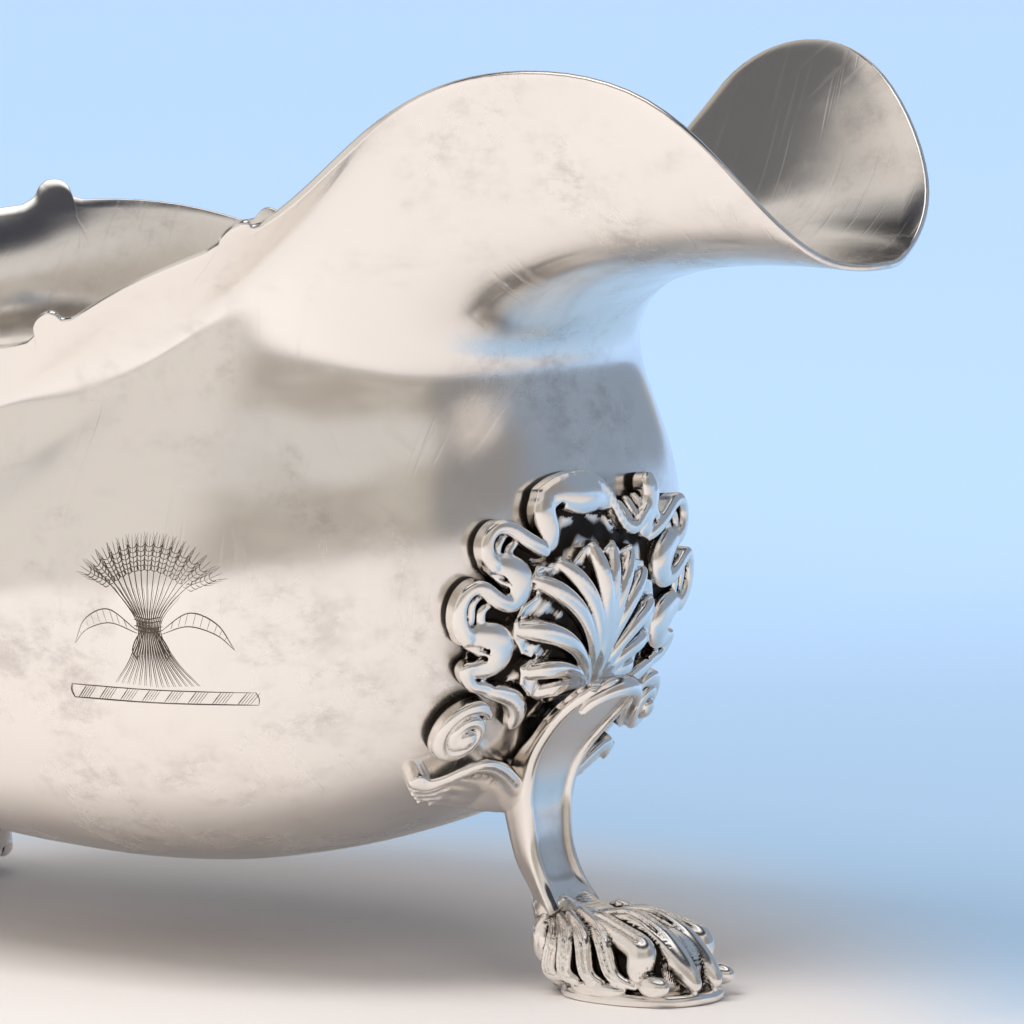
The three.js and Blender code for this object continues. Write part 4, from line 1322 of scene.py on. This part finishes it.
@dataclass
class Paw:
    """Lion's paw: toes with claws in front, curling locks round the ankle and a spur at the heel."""

    low: Colour = (59.0, -11.0, 0.9)
    high: Colour = (90.4, 11.0, 14.6)
    step: float = 0.2
    toes: tuple[float, ...] = (-6.3, -2.2, 2.2, 6.3)
    locks: tuple[float, ...] = (62.0, 84.0, 106.0, 128.0)

    def carve(self) -> Carving:
        """Cuts one paw in (r, y, z)."""
        block = Carving(self.low, self.high, self.step)
        for side in (-1, 1):
            ankle = [[62.2, 2.4 * side, 11.6], [64.2, 2.2 * side, 10.2], [67.4, 1.6 * side, 7.5]]
            block.tube(ankle, [1.6, 2.9, 5.0], 1.0)
        block.ball((74.2, 0, 4.4), (11.0, 7.9, 5.6), 2.0)
        block.ball((78.0, 0, 4.2), (8.8, 6.6, 6.2), 1.5)
        block.ball((67.2, 0, 4.4), (4.4, 6.4, 5.4), 1.5)
        self._toes(block)
        self._locks(block)
        for side in (-1, 1):
            block.ball((64.6, 4.9 * side, 7.2), (2.1, 1.8, 3.3), 0.2)
            curl = [[65.0, 6.7 * side, 9.2], [64.4, 7.0 * side, 7.2], [64.2, 6.6 * side, 5.0]]
            block.tube(curl, [0.2, 0.45, 0.2], 0.15, carve=True)
            block.ball((84.6, 7.2 * side, 2.9), (2.5, 1.6, 1.5), 0.15)
            block.ball((76.0, 8.0 * side, 1.9), (4.6, 1.5, 1.2), 0.3)
        return block

    def _toes(self, block: Carving) -> None:
        """Toes, each with fine hair along it and a claw."""
        for y in self.toes:
            k = y / 6.3
            front = 1.0 - 0.16 * k * k
            p = np.array([
                [70.4, y * 0.55, 9.8, 1.0], [73.4, y * 0.7, 10.1, 1.5],
                [77.4, y * 0.86, 10.3 - 1.4 * k * k, 1.8], [81.8, y, 8.3 - k * k, 1.9],
                [60 + 26.0 * front, y * 1.04, 5.2 - 0.5 * k * k, 1.7],
                [60 + 28.3 * front, y * 1.02, 2.9, 1.0],
            ])
            block.tube(p[:, :3], p[:, 3], 0.35, samples=34)
            for off in (-1.0, 0.0, 1.0):
                cut = p[:5, :3].copy()
                cut[:, 1] += off * 1.0
                cut[:, 2] += p[:5, 3] * (1.0 if off == 0 else 0.82)
                block.tube(cut, [0.12, 0.24, 0.26, 0.24, 0.1], 0.15, carve=True, samples=26)
            claw = [[60 + 26.6 * front, y * 1.05, 3.9], [60 + 27.9 * front, y * 1.03, 3.0],
                    [60 + 28.2 * front, y * 1.0, 1.5]]
            block.tube(claw, [0.8, 0.75, 0.4], 0.15, samples=14)

    def _locks(self, block: Carving) -> None:
        """S-shaped locks of hair down both sides and the heel."""
        for side in (-1, 1):
            for k, angle in enumerate(self.locks):
                a = math.radians(angle)
                foot = np.array([75.4 + 11.6 * math.cos(a), side * 8.4 * math.sin(a) ** 0.8, 2.6])
                b = a * 0.9
                head = np.array([67.6 + 4.4 * math.cos(b), side * 5.0 * math.sin(b), 11.4 - 0.5 * k])
                mid = mix(head, foot, 0.5) + np.array([0.9, side * 1.5, 0.9])
                low = mix(head, foot, 0.82) + np.array([-0.5, side * 0.9, -0.2])
                line = np.array([head, mix(head, mid, 0.55) + [0.3, 0, 0.3], mid, low, foot + [0.9, 0, 0]])
                block.tube(line, [0.7, 1.05, 1.25, 1.15, 0.45], 0.15, samples=26)
                for off in (-0.45, 0.45):
                    cut = line + np.array([off, side * 1.05, 0.35])
                    block.tube(cut, [0.1, 0.22, 0.26, 0.22, 0.1], 0.12, carve=True, samples=22)

    def build(self) -> list[bpy.types.Object]:
        """One paw for each leg."""
        block = self.carve()
        pts, faces = block.mesh()
        crowd = 0.6 * block.crowding(pts, 0.9) + 0.4 * block.crowding(pts, 1.8)
        patina_and_shade = smooth((crowd - 0.45) / 0.18)
        return [cast(Skin(leg.place(pts), faces), f"{leg.name}_paw", patina_and_shade) for leg in LEGS]


@dataclass
class Sole:
    """Thin oval plate that each paw stands on."""

    reach: float = 77.2
    length: float = 11.4
    width: float = 9.1
    thick: float = 1.7

    def build(self) -> list[bpy.types.Object]:
        """One sole for each leg."""
        q = np.linspace(0, 2 * math.pi, 120, endpoint=False)
        c, s = np.cos(q), np.sin(q)
        grow = (np.abs(c) ** 2.3 + np.abs(s) ** 2.3) ** (-1 / 2.3)
        rows = []
        profile = [(6.0, 0.0), (1.2, 0.0), (0.5, 0.0), (0.15, 0.12), (0.0, 0.45), (0.0, 0.9), (0.12, 1.3),
                   (0.5, 1.6), (1.1, self.thick), (6.0, self.thick)]
        for inset, z in profile:
            wave = 0.12 * np.sin(q * 7) * min(1.0, z)
            length, width = self.length - inset - wave, self.width - inset - wave
            rows.append(np.stack([self.reach + length * c * grow, width * s * grow, np.full_like(q, z)], -1))
        made = []
        for leg in LEGS:
            skin = skin_of_rings(leg.place(np.array(rows)))
            # A light tarnish all over, and painted shade on the underside that stands on the table.
            made.append(cast(skin, f"{leg.name}_sole", 0.15 + 0.35 * (skin.points[:, 2] < 0.05)))
        return made


# ---------- handle
MOUNT_SECTION = (
    (0.3, -0.4), (0.9, -0.4), (1.0, 0.1), (1.0, 0.6), (0.96, 0.95), (0.88, 1.15), (0.8, 1.05),
    (0.72, 1.2), (0.62, 1.6), (0.5, 2.1), (0.38, 2.4), (0.2, 2.55),
)  # share of the oval, height above the bowl


@dataclass(frozen=True)
class Bar:
    """One scroll of the handle, with knots (x, z, half width, half depth) in the middle plane."""

    node: str
    knots: tuple[tuple[float, float, float, float], ...]
    rings: int
    flutes: float = 0.0
    veins: int = 0
    knob: float = 0.0
    free: tuple[bool, bool] = (False, True)


@dataclass
class Handle:
    """Double-scroll handle: upper scroll with its leaf cap, lower scroll with its spur, two leaf plates."""

    around: int = 64
    bars: tuple[Bar, ...] = (
        Bar("handle_upper_scroll", (
            (-61.2, 85.3, 3.0, 1.9), (-68.6, 89.2, 3.1, 2.2), (-72.4, 96.2, 3.2, 2.5),
            (-73.8, 104.0, 3.5, 2.8), (-77.4, 111.4, 3.8, 3.1), (-84.6, 115.2, 4.0, 3.2),
            (-92.0, 112.4, 3.9, 3.1), (-96.2, 105.6, 3.6, 2.9), (-96.2, 97.6, 3.3, 2.7),
            (-92.2, 91.2, 3.0, 2.4), (-86.2, 89.2, 2.7, 2.1), (-82.4, 92.6, 2.4, 1.8),
            (-83.6, 96.4, 2.6, 1.7), (-86.4, 96.2, 2.2, 1.3),
        ), 240, flutes=0.5, knob=2.1),
        Bar("handle_lower_scroll", (
            (-67.4, 66.3, 2.5, 1.9), (-72.9, 64.6, 2.9, 2.1), (-78.0, 64.6, 3.0, 2.3),
            (-84.4, 67.6, 3.1, 2.4), (-89.4, 73.0, 3.0, 2.3), (-92.6, 79.6, 2.8, 2.1),
            (-93.7, 89.7, 2.4, 1.8),
        ), 140, flutes=0.45, free=(False, False)),
        Bar("handle_spur", (
            (-81.2, 63.6, 2.2, 1.3), (-89.0, 62.9, 2.3, 1.7), (-93.6, 66.4, 2.2, 1.7),
            (-95.2, 71.4, 2.0, 1.5), (-93.6, 74.6, 1.7, 1.2),
        ), 110, flutes=0.3, knob=1.6),
        Bar("handle_leaf_cap", (
            (-72.0, 111.2, 1.6, 0.8), (-75.2, 115.4, 3.8, 0.9), (-83.6, 119.5, 5.4, 1.0),
            (-92.6, 117.6, 5.2, 1.0), (-98.6, 110.6, 4.2, 0.9), (-100.8, 103.4, 3.0, 0.9),
            (-102.6, 99.6, 1.4, 0.8),
        ), 170, veins=9, free=(True, True)),
    )

    def build(self) -> list[bpy.types.Object]:
        """Builds the scrolls and the two plates."""
        made = [self._bar(bar) for bar in self.bars]
        rear = LegFrame("rear", 12.0, 180.0, 0)
        for node, z, a, b in (("handle_lower_mount", 67.0, 4.6, 6.4), ("handle_upper_mount", 87.0, 4.6, 5.4)):
            made.append(self._plate(rear, node, z, a, b))
        return made

    def _bar(self, bar: Bar) -> bpy.types.Object:
        """Sweeps one scroll, with flutes along it or veins across it."""
        s = spline(bar.knots, bar.rings)
        m, n = bar.rings, self.around
        path = np.stack([s[:, 0], np.zeros(m), s[:, 1]], -1)
        q = np.linspace(0, 2 * math.pi, n, endpoint=False)[None]
        u = np.linspace(0, 1, m)[:, None]
        end = np.sqrt(np.clip(1 - ((u - 0.5) / 0.5) ** 16, 0.0, 1))
        end = np.where(np.where(u < 0.5, bar.free[0], bar.free[1]), end, 1.0)
        w, h = s[:, 2:3] * end, s[:, 3:4] * end
        c, sn = np.cos(q), np.sin(q)
        dark = np.zeros((m, n))
        if bar.veins:
            edge = 1 + 0.10 * np.abs(np.sin(u * math.pi * bar.veins)) - 0.10
            y = w * c * edge
            wave = 0.42 * np.sin(u * 2 * math.pi * bar.veins - 2.6 * np.abs(c)) * np.abs(c) ** 0.5
            rib = 0.5 * np.exp(-((c / 0.14) ** 2))
            z = h * sn + (wave + rib - 0.9 * c * c) * np.where(sn > 0, 1.0, 0.75) * end
            dark = 0.5 * smooth((0.1 - wave) / 0.45) * (np.abs(c) > 0.15)
        else:
            top = np.exp(-(((np.abs(c) - 0.62) / 0.13) ** 2)) * (sn > 0)
            cut = bar.flutes * (top + 0.8 * np.exp(-((sn / 0.2) ** 2)))
            y, z = (w - cut * end) * c, (h - cut * end) * sn
            dark = 0.75 * cut / max(bar.flutes, 1e-6) * end
        rings = swept(path, np.broadcast_to([0.0, 1.0, 0.0], (m, 3)), np.stack([-z, y], -1))
        skin = skin_of_rings(rings)
        patina_and_shade = np.concatenate([dark.ravel(), [0.1, 0.1]])
        if bar.knob:
            ball = self._knob(path[-3], s[-1, 2] * 1.05, bar.knob)
            skin = skin.joined(ball)
            patina_and_shade = np.concatenate([patina_and_shade, np.full(len(ball.points), 0.05)])
        return cast(skin, bar.node, patina_and_shade)

    @staticmethod
    def _knob(centre: Array, half: float, radius: float) -> Skin:
        """Round eye that ends a scroll, a little wider than the bar."""
        a, b = np.linspace(0.12, math.pi - 0.12, 22), np.linspace(0, 2 * math.pi, 36, endpoint=False)
        a, b = np.meshgrid(a, b, indexing="ij")
        p = np.stack([np.sin(a) * np.cos(b), np.cos(a), np.sin(a) * np.sin(b)], -1)
        return skin_of_rings(p * [radius, half * 1.1, radius] + centre)

    @staticmethod
    def _plate(rear: LegFrame, node: str, z: float, a: float, b: float) -> bpy.types.Object:
        """Lobed leaf plate on the bowl under one end of the handle."""
        q = np.linspace(0, 2 * math.pi, 144, endpoint=False)
        lobe = 1 - 0.07 * (1 - np.abs(np.cos(q * 4.5))) ** 2
        rows, dark = [], []
        for share, h in MOUNT_SECTION:
            vein = 0.16 * np.cos(q * 9) * (h > 0.5)
            vein = vein * smooth((share - 0.3) / 0.4) * smooth((1.02 - share) / 0.1)
            pts = np.stack([np.cos(q) * a * share * lobe, z + np.sin(q) * b * share * lobe, h + vein], -1)
            rows.append(rear.on_bowl(pts))
            # Tarnish in the troughs of the veins, and painted shade along the plate's foot where it meets the
            # bowl.
            dark.append(0.45 * (vein < -0.03) + 0.4 * (h < 0.3) * np.ones_like(q))
        return cast(skin_of_rings(np.array(rows)), node, np.concatenate([np.array(dark).ravel(), [0.2, 0.0]]))


# ---------- engraving
@dataclass
class Engraving:
    """A tied wheatsheaf on a twisted bar, cut in fine lines on the near side of the belly."""

    size: float = 24.6
    line: float = 0.085
    column: float = -4.2
    height: float = 53.6
    strokes: list[Array] = field(default_factory=list)

    def build(self) -> list[bpy.types.Object]:
        """Draws the device and lays it on the bowl."""
        self._bar()
        self._sheaf()
        self._band()
        frame = LegFrame("badge", self.column, -90.0, 0, knee_z=self.height)
        points: list[Array] = []
        edges: list[tuple[int, int]] = []
        widths: list[Array] = []
        start = 0
        for stroke in self.strokes:
            flat = stroke[:, :2] * self.size / 24.0
            at = np.stack([flat[:, 0], self.height + flat[:, 1], np.full(len(flat), -0.035)], -1)
            points.append(at)
            widths.append(stroke[:, 2])
            edges += [(start + i, start + i + 1) for i in range(len(stroke) - 1)]
            start += len(stroke)
        placed = (frame.on_bowl(np.vstack(points)) + np.array([SHIFT_X, 0, 0])) * MM
        wire = bpy.data.meshes.new("engraving_lines")
        wire.from_pydata(placed.tolist(), edges, [])
        layer = wire.attributes.new("width", "FLOAT", "POINT")
        layer.data.foreach_set("value", np.concatenate(widths).astype(np.float32))
        obj = added("engraving", wire)
        self._cut_lines(obj)
        write_patina_and_shade(obj, np.full(len(obj.data.vertices), 0.25))
        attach(obj, "root")
        return [obj]

    def _draw(self, knots: Sequence[Sequence[float]], count: int = 12, weight: float = 1.0) -> None:
        """Adds a stroke that swells in its middle, like a graver's cut."""
        p = spline(knots, count) if len(knots) > 2 else np.linspace(knots[0], knots[1], count)
        swell = weight * (0.35 + 0.65 * np.sin(np.linspace(0, math.pi, count)) ** 0.6)
        self.strokes.append(np.column_stack([p, swell]))

    def _bar(self) -> None:
        """Twisted bar that the sheaf stands on."""
        self._draw([(-12, -10.2), (0, -10.35), (12, -10.3)], 30, 1.0)
        self._draw([(-12, -12.0), (0, -12.1), (12, -12.0)], 30, 1.25)
        for end in (-12, 12):
            self._draw([(end, -10.2), (end * 1.02, -11.1), (end, -12.0)], 8)
        for k in range(8):
            for j in range(5):
                x = -11.4 + k * 3.0 + j * 0.36
                self._draw([(x, -12.0), (x + 0.7, -11.2), (x + 1.5, -10.3)], 8, 0.55 if j else 1.0)

    def _sheaf(self) -> None:
        """Stalks that cross at the tie and end in ears of grain."""
        for k in range(-7, 8):
            foot, tip = 0.78 * k, 1.12 * k
            top = 8.4 - 0.075 * k * k
            stalk = [(foot, -10.0 + 0.06 * abs(k)), (0.52 * foot, -6.0), (0.2 * k, -1.6), (0.62 * tip, 3.2),
                     (tip, top)]
            self._draw(stalk, 22, 0.8)
            self._draw([(a + 0.22, b) for a, b in stalk[:4]], 16, 0.5)
            run = np.array([tip - 0.62 * tip, top - 3.2])
            run /= np.linalg.norm(run)
            over = np.array([run[1], -run[0]])
            for j in range(6):
                at = np.array([tip, top]) - run * (2.9 - 0.62 * j)
                for side in (-1, 1):
                    out = over * side
                    self._draw([at, at + run * 0.28 + out * 0.5, at + run * 0.75 + out * 0.52], 6, 0.75)
                    if j > 1:
                        self._draw([at + run * 0.7 + out * 0.5, at + run * 2.0 + out * 0.95], 5, 0.35)
            self._draw([(tip, top), np.array([tip, top]) + run * 2.0], 5, 0.4)
        for side in (-1, 1):
            leaf = [(side * 1.6, -2.4), (side * 5.4, 0.2), (side * 8.8, -1.2), (side * 10.6, -4.6)]
            self._draw(leaf, 18, 1.0)
            under = [(side * 1.6, -2.8), (side * 5.2, -1.6), (side * 8.6, -2.6), (side * 10.6, -4.6)]
            self._draw(under, 18, 0.9)
            for j in range(9):
                at = int((0.16 + 0.085 * j) * 99)
                low = spline(under, 100)[at] + np.array([side * -0.3, 0.1])
                self._draw([spline(leaf, 100)[at], low], 5, 0.4)

    def _band(self) -> None:
        """Tie round the sheaf, with its knot."""
        for b in (-2.5, -2.0, -1.2, -0.7):
            self._draw([(-1.9, b + 0.25), (0, b - 0.15), (1.9, b + 0.25)], 12, 0.95)
        for k in range(9):
            self._draw([(-1.6 + 0.4 * k, -2.2), (-1.5 + 0.4 * k, -1.0)], 4, 0.45)
        for side in (-1, 1):
            self._draw([(0, -1.6), (side * 1.6, -3.2), (side * 2.5, -5.2), (side * 1.9, -6.4)], 12, 0.9)
            self._draw([(0, -1.9), (side * 1.1, -3.4), (side * 1.8, -5.2), (side * 1.9, -6.4)], 12, 0.7)

    def _cut_lines(self, obj: bpy.types.Object) -> None:
        """Geometry Nodes: turns the drawn edges into fine tapered cuts, then keeps the plain mesh."""
        tree = bpy.data.node_groups.new("graver", "GeometryNodeTree")
        face = tree.interface
        face.new_socket("Geometry", in_out="INPUT", socket_type="NodeSocketGeometry")
        width = face.new_socket("Line width", in_out="INPUT", socket_type="NodeSocketFloat")
        sides = face.new_socket("Sides", in_out="INPUT", socket_type="NodeSocketInt")
        face.new_socket("Geometry", in_out="OUTPUT", socket_type="NodeSocketGeometry")

        def node(kind: str) -> bpy.types.Node:
            return tree.nodes.new(kind)

        link = tree.links.new
        start, end = node("NodeGroupInput"), node("NodeGroupOutput")
        lines, read = node("GeometryNodeMeshToCurve"), node("GeometryNodeInputNamedAttribute")
        scale, radius = node("ShaderNodeMath"), node("GeometryNodeSetCurveRadius")
        circle, sweep = node("GeometryNodeCurvePrimitiveCircle"), node("GeometryNodeCurveToMesh")
        real, paint = node("GeometryNodeRealizeInstances"), node("GeometryNodeSetMaterial")
        read.data_type, read.inputs["Name"].default_value = "FLOAT", "width"
        scale.operation = "MULTIPLY"
        circle.inputs["Radius"].default_value = 1.0
        sweep.inputs["Fill Caps"].default_value = True
        paint.inputs["Material"].default_value = SHOP.get(Finish.DARK_LINE)
        link(start.outputs["Geometry"], lines.inputs["Mesh"])
        link(read.outputs["Attribute"], scale.inputs[0])
        link(start.outputs["Line width"], scale.inputs[1])
        link(start.outputs["Sides"], circle.inputs["Resolution"])
        link(lines.outputs["Curve"], radius.inputs["Curve"])
        link(scale.outputs[0], radius.inputs["Radius"])
        link(radius.outputs["Curve"], sweep.inputs["Curve"])
        link(circle.outputs["Curve"], sweep.inputs["Profile Curve"])
        if "Scale" in sweep.inputs:
            link(scale.outputs[0], sweep.inputs["Scale"])
        link(sweep.outputs["Mesh"], real.inputs["Geometry"])
        link(real.outputs["Geometry"], paint.inputs["Geometry"])
        link(paint.outputs["Geometry"], end.inputs["Geometry"])
        mod = obj.modifiers.new("graver", "NODES")
        mod.node_group = tree
        mod[width.identifier] = self.line * MM
        mod[sides.identifier] = 4
        seen = obj.evaluated_get(bpy.context.evaluated_depsgraph_get())
        mesh = bpy.data.meshes.new_from_object(seen)
        obj.modifiers.clear()
        obj.data = mesh


# ---------- stage
@dataclass(frozen=True)
class Lamp:
    """A softbox: place and size in millimetres, power in watts, colour."""

    name: str
    place: Colour
    size: tuple[float, float]
    power: float
    colour: Colour


@dataclass(frozen=True)
class Patch:
    """A soft-edged part of the room, in degrees: azimuth 0 is -Y and 90 is +X."""

    azimuth: float
    elevation: float
    reach: float
    soft: float
    colour: Colour


@dataclass
class Studio:
    """Camera, floor, lights and surroundings."""

    target: Colour = (22.61, 32.39, 59.00)
    stand: Colour = (1000.32, -1219.04, 253.99)
    lens: float = 405.0
    floor_radius: float = 6000.0
    table_tip: tuple[float, float] = (-18.0, 94.0)
    table_bend: float = 93.0
    table_splay: float = 1.1
    table_drop: float = 76.0
    table_return: tuple[float, float, float, float] = (170.0, 330.0, 0.0, 420.0)
    table_blur: tuple[float, float] = (-38.0, 34.0)
    glow_reach: float = 520.0
    table: Colour = (0.80, 0.765, 0.75)
    paper: Colour = (0.20, 0.29, 0.40)
    glow_shaded: Colour = (0.22, 0.32, 0.44)
    glow_far: Colour = (0.385, 0.55, 0.82)
    walls: tuple[Colour, Colour] = ((0.53, 0.49, 0.44), (0.43, 0.385, 0.34))
    ceiling: tuple[tuple[float, float, Colour], ...] = (
        (0.46, 0.49, (0.68, 0.655, 0.63)),
        (0.66, 0.70, (0.018, 0.022, 0.038)),
        (0.86, 0.92, (1.35, 1.33, 1.30)),
    )  # from and to where each colour sets in, as the sine of the elevation
    strength: float = 1.0
    lamps: tuple[Lamp, ...] = (
        Lamp("overhead", (-50, -640, 1040), (620, 620), 10.4, (1.0, 0.975, 0.95)),
        Lamp("side", (900, -500, 500), (400, 600), 1.2, (0.95, 0.97, 1.0)),
    )
    patches: tuple[Patch, ...] = (
        Patch(-40, 8, 42, 20, (0.74, 0.695, 0.655)),
        Patch(108, 12, 24, 7, (0.27, 0.262, 0.26)),
        Patch(160, 10, 38, 14, (0.26, 0.32, 0.41)),
        Patch(-85, 13, 18, 8, (0.13, 0.132, 0.138)),
        Patch(-118, 50, 12, 6, (0.01, 0.01, 0.012)),
    )

    def build(self) -> None:
        """Makes all of it."""
        bpy.context.scene.view_settings.view_transform = "Standard"
        self._camera()
        self._floor()
        self._lights()
        self._world()

    def _camera(self) -> None:
        cam = bpy.data.cameras.new("camera")
        cam.lens, cam.sensor_width, cam.clip_end = self.lens, 36.0, 50.0
        obj = added("camera", cam)
        here, there = Vector(self.stand) * MM, Vector(self.target) * MM
        obj.location = here
        obj.rotation_euler = (there - here).to_track_quat("-Z", "Y").to_euler()
        bpy.context.scene.camera = obj

    def _floor(self) -> None:
        """Pale table with a round far edge, which fades into the light blue paper behind it."""
        n = 96
        a = np.linspace(0, 2 * math.pi, n, endpoint=False)
        ring = np.stack([np.cos(a), np.sin(a), np.zeros(n)], -1) * self.floor_radius * MM
        mesh = bpy.data.meshes.new("floor")
        mesh.from_pydata(ring.tolist(), [], [list(range(n))])
        s = Shade(bpy.data.materials.new("floor"))
        x, y = s.toward((1 / MM, 0, 0)), s.toward((0, 1 / MM, 0))
        off = s.math("SUBTRACT", x, self.table_tip[0])
        arm = s.math("SQRT", s.math("ADD", s.math("MULTIPLY", off, off), self.table_bend**2))
        splay = s.math("MULTIPLY", s.math("SUBTRACT", arm, self.table_bend), self.table_splay)
        past = s.math("ADD", y, s.math("MINIMUM", splay, self.table_drop))
        past = s.math("SUBTRACT", past, s.span(off, *self.table_return))
        past = s.math("SUBTRACT", past, self.table_tip[1])
        edge = s.span(past, *self.table_blur)
        s.put(s.bsdf.inputs["Base Color"], s.blend(edge, self.table, self.paper))
        # The paper glows, evenly bright far off; towards the table's edge near the boat its glow darkens, a
        # painted shadow.
        glow = s.blend(s.span(past, 0.0, self.glow_reach), self.glow_shaded, self.glow_far)
        s.put(s.bsdf.inputs["Emission Color"], s.blend(edge, (0.0, 0.0, 0.0), glow))
        s.bsdf.inputs["Emission Strength"].default_value = 1.0
        s.bsdf.inputs["Roughness"].default_value = 0.75
        s.bsdf.inputs["Specular IOR Level"].default_value = 0.1
        mesh.materials.append(s.material)
        obj = added("floor", mesh)

    def _lights(self) -> None:
        """Softboxes that light the table; the silver mirrors the room instead."""
        for lamp in self.lamps:
            light = bpy.data.lights.new(lamp.name, "AREA")
            light.shape, light.size, light.size_y = "RECTANGLE", lamp.size[0] * MM, lamp.size[1] * MM
            light.energy, light.color = lamp.power, lamp.colour
            obj = added(lamp.name, light)
            obj.location = Vector(lamp.place) * MM
            obj.rotation_euler = (-obj.location).to_track_quat("-Z", "Y").to_euler()
            obj.visible_glossy = False

    def _world(self) -> None:
        """The room as the silver mirrors it: a brownish wall below a lighter ceiling, with soft patches."""
        world = bpy.data.worlds.new("room")
        bpy.context.scene.world = world
        s = Shade(world)
        up = s.toward((0, 0, 1))
        block = s.span(s.noise(2.4, 2, 0.6, (1, 1, 3.0)), 0.42, 0.58)
        room = s.blend(block, *self.walls)
        for lo, hi, colour in self.ceiling:
            room = s.blend(s.span(up, lo, hi), room, colour)
        for p in self.patches:
            a, e = math.radians(p.azimuth), math.radians(p.elevation)
            aim = (math.sin(a) * math.cos(e), -math.cos(a) * math.cos(e), math.sin(e))
            outer, inner = (math.cos(math.radians(p.reach + k * p.soft / 2)) for k in (1, -1))
            room = s.blend(s.span(s.toward(aim), outer, inner), room, p.colour)
        s.put(s.bsdf.inputs["Color"], room)
        s.bsdf.inputs["Strength"].default_value = self.strength


def main() -> None:
    """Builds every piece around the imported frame."""
    logging.basicConfig(level=logging.INFO, format="%(message)s")
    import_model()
    Studio().build()
    pieces: list[bpy.types.Object] = []
    for maker in (BowlPiece(), KneeFrame(), Shell(), Volute(), LeafCuff(), Shank(), Paw(), Sole(), Handle(),
                  Engraving()):
        made = maker.build()
        LOG.info("%s: %d piece(s)", type(maker).__name__, len(made))
        pieces += made


if __name__ == "__main__":
    main()
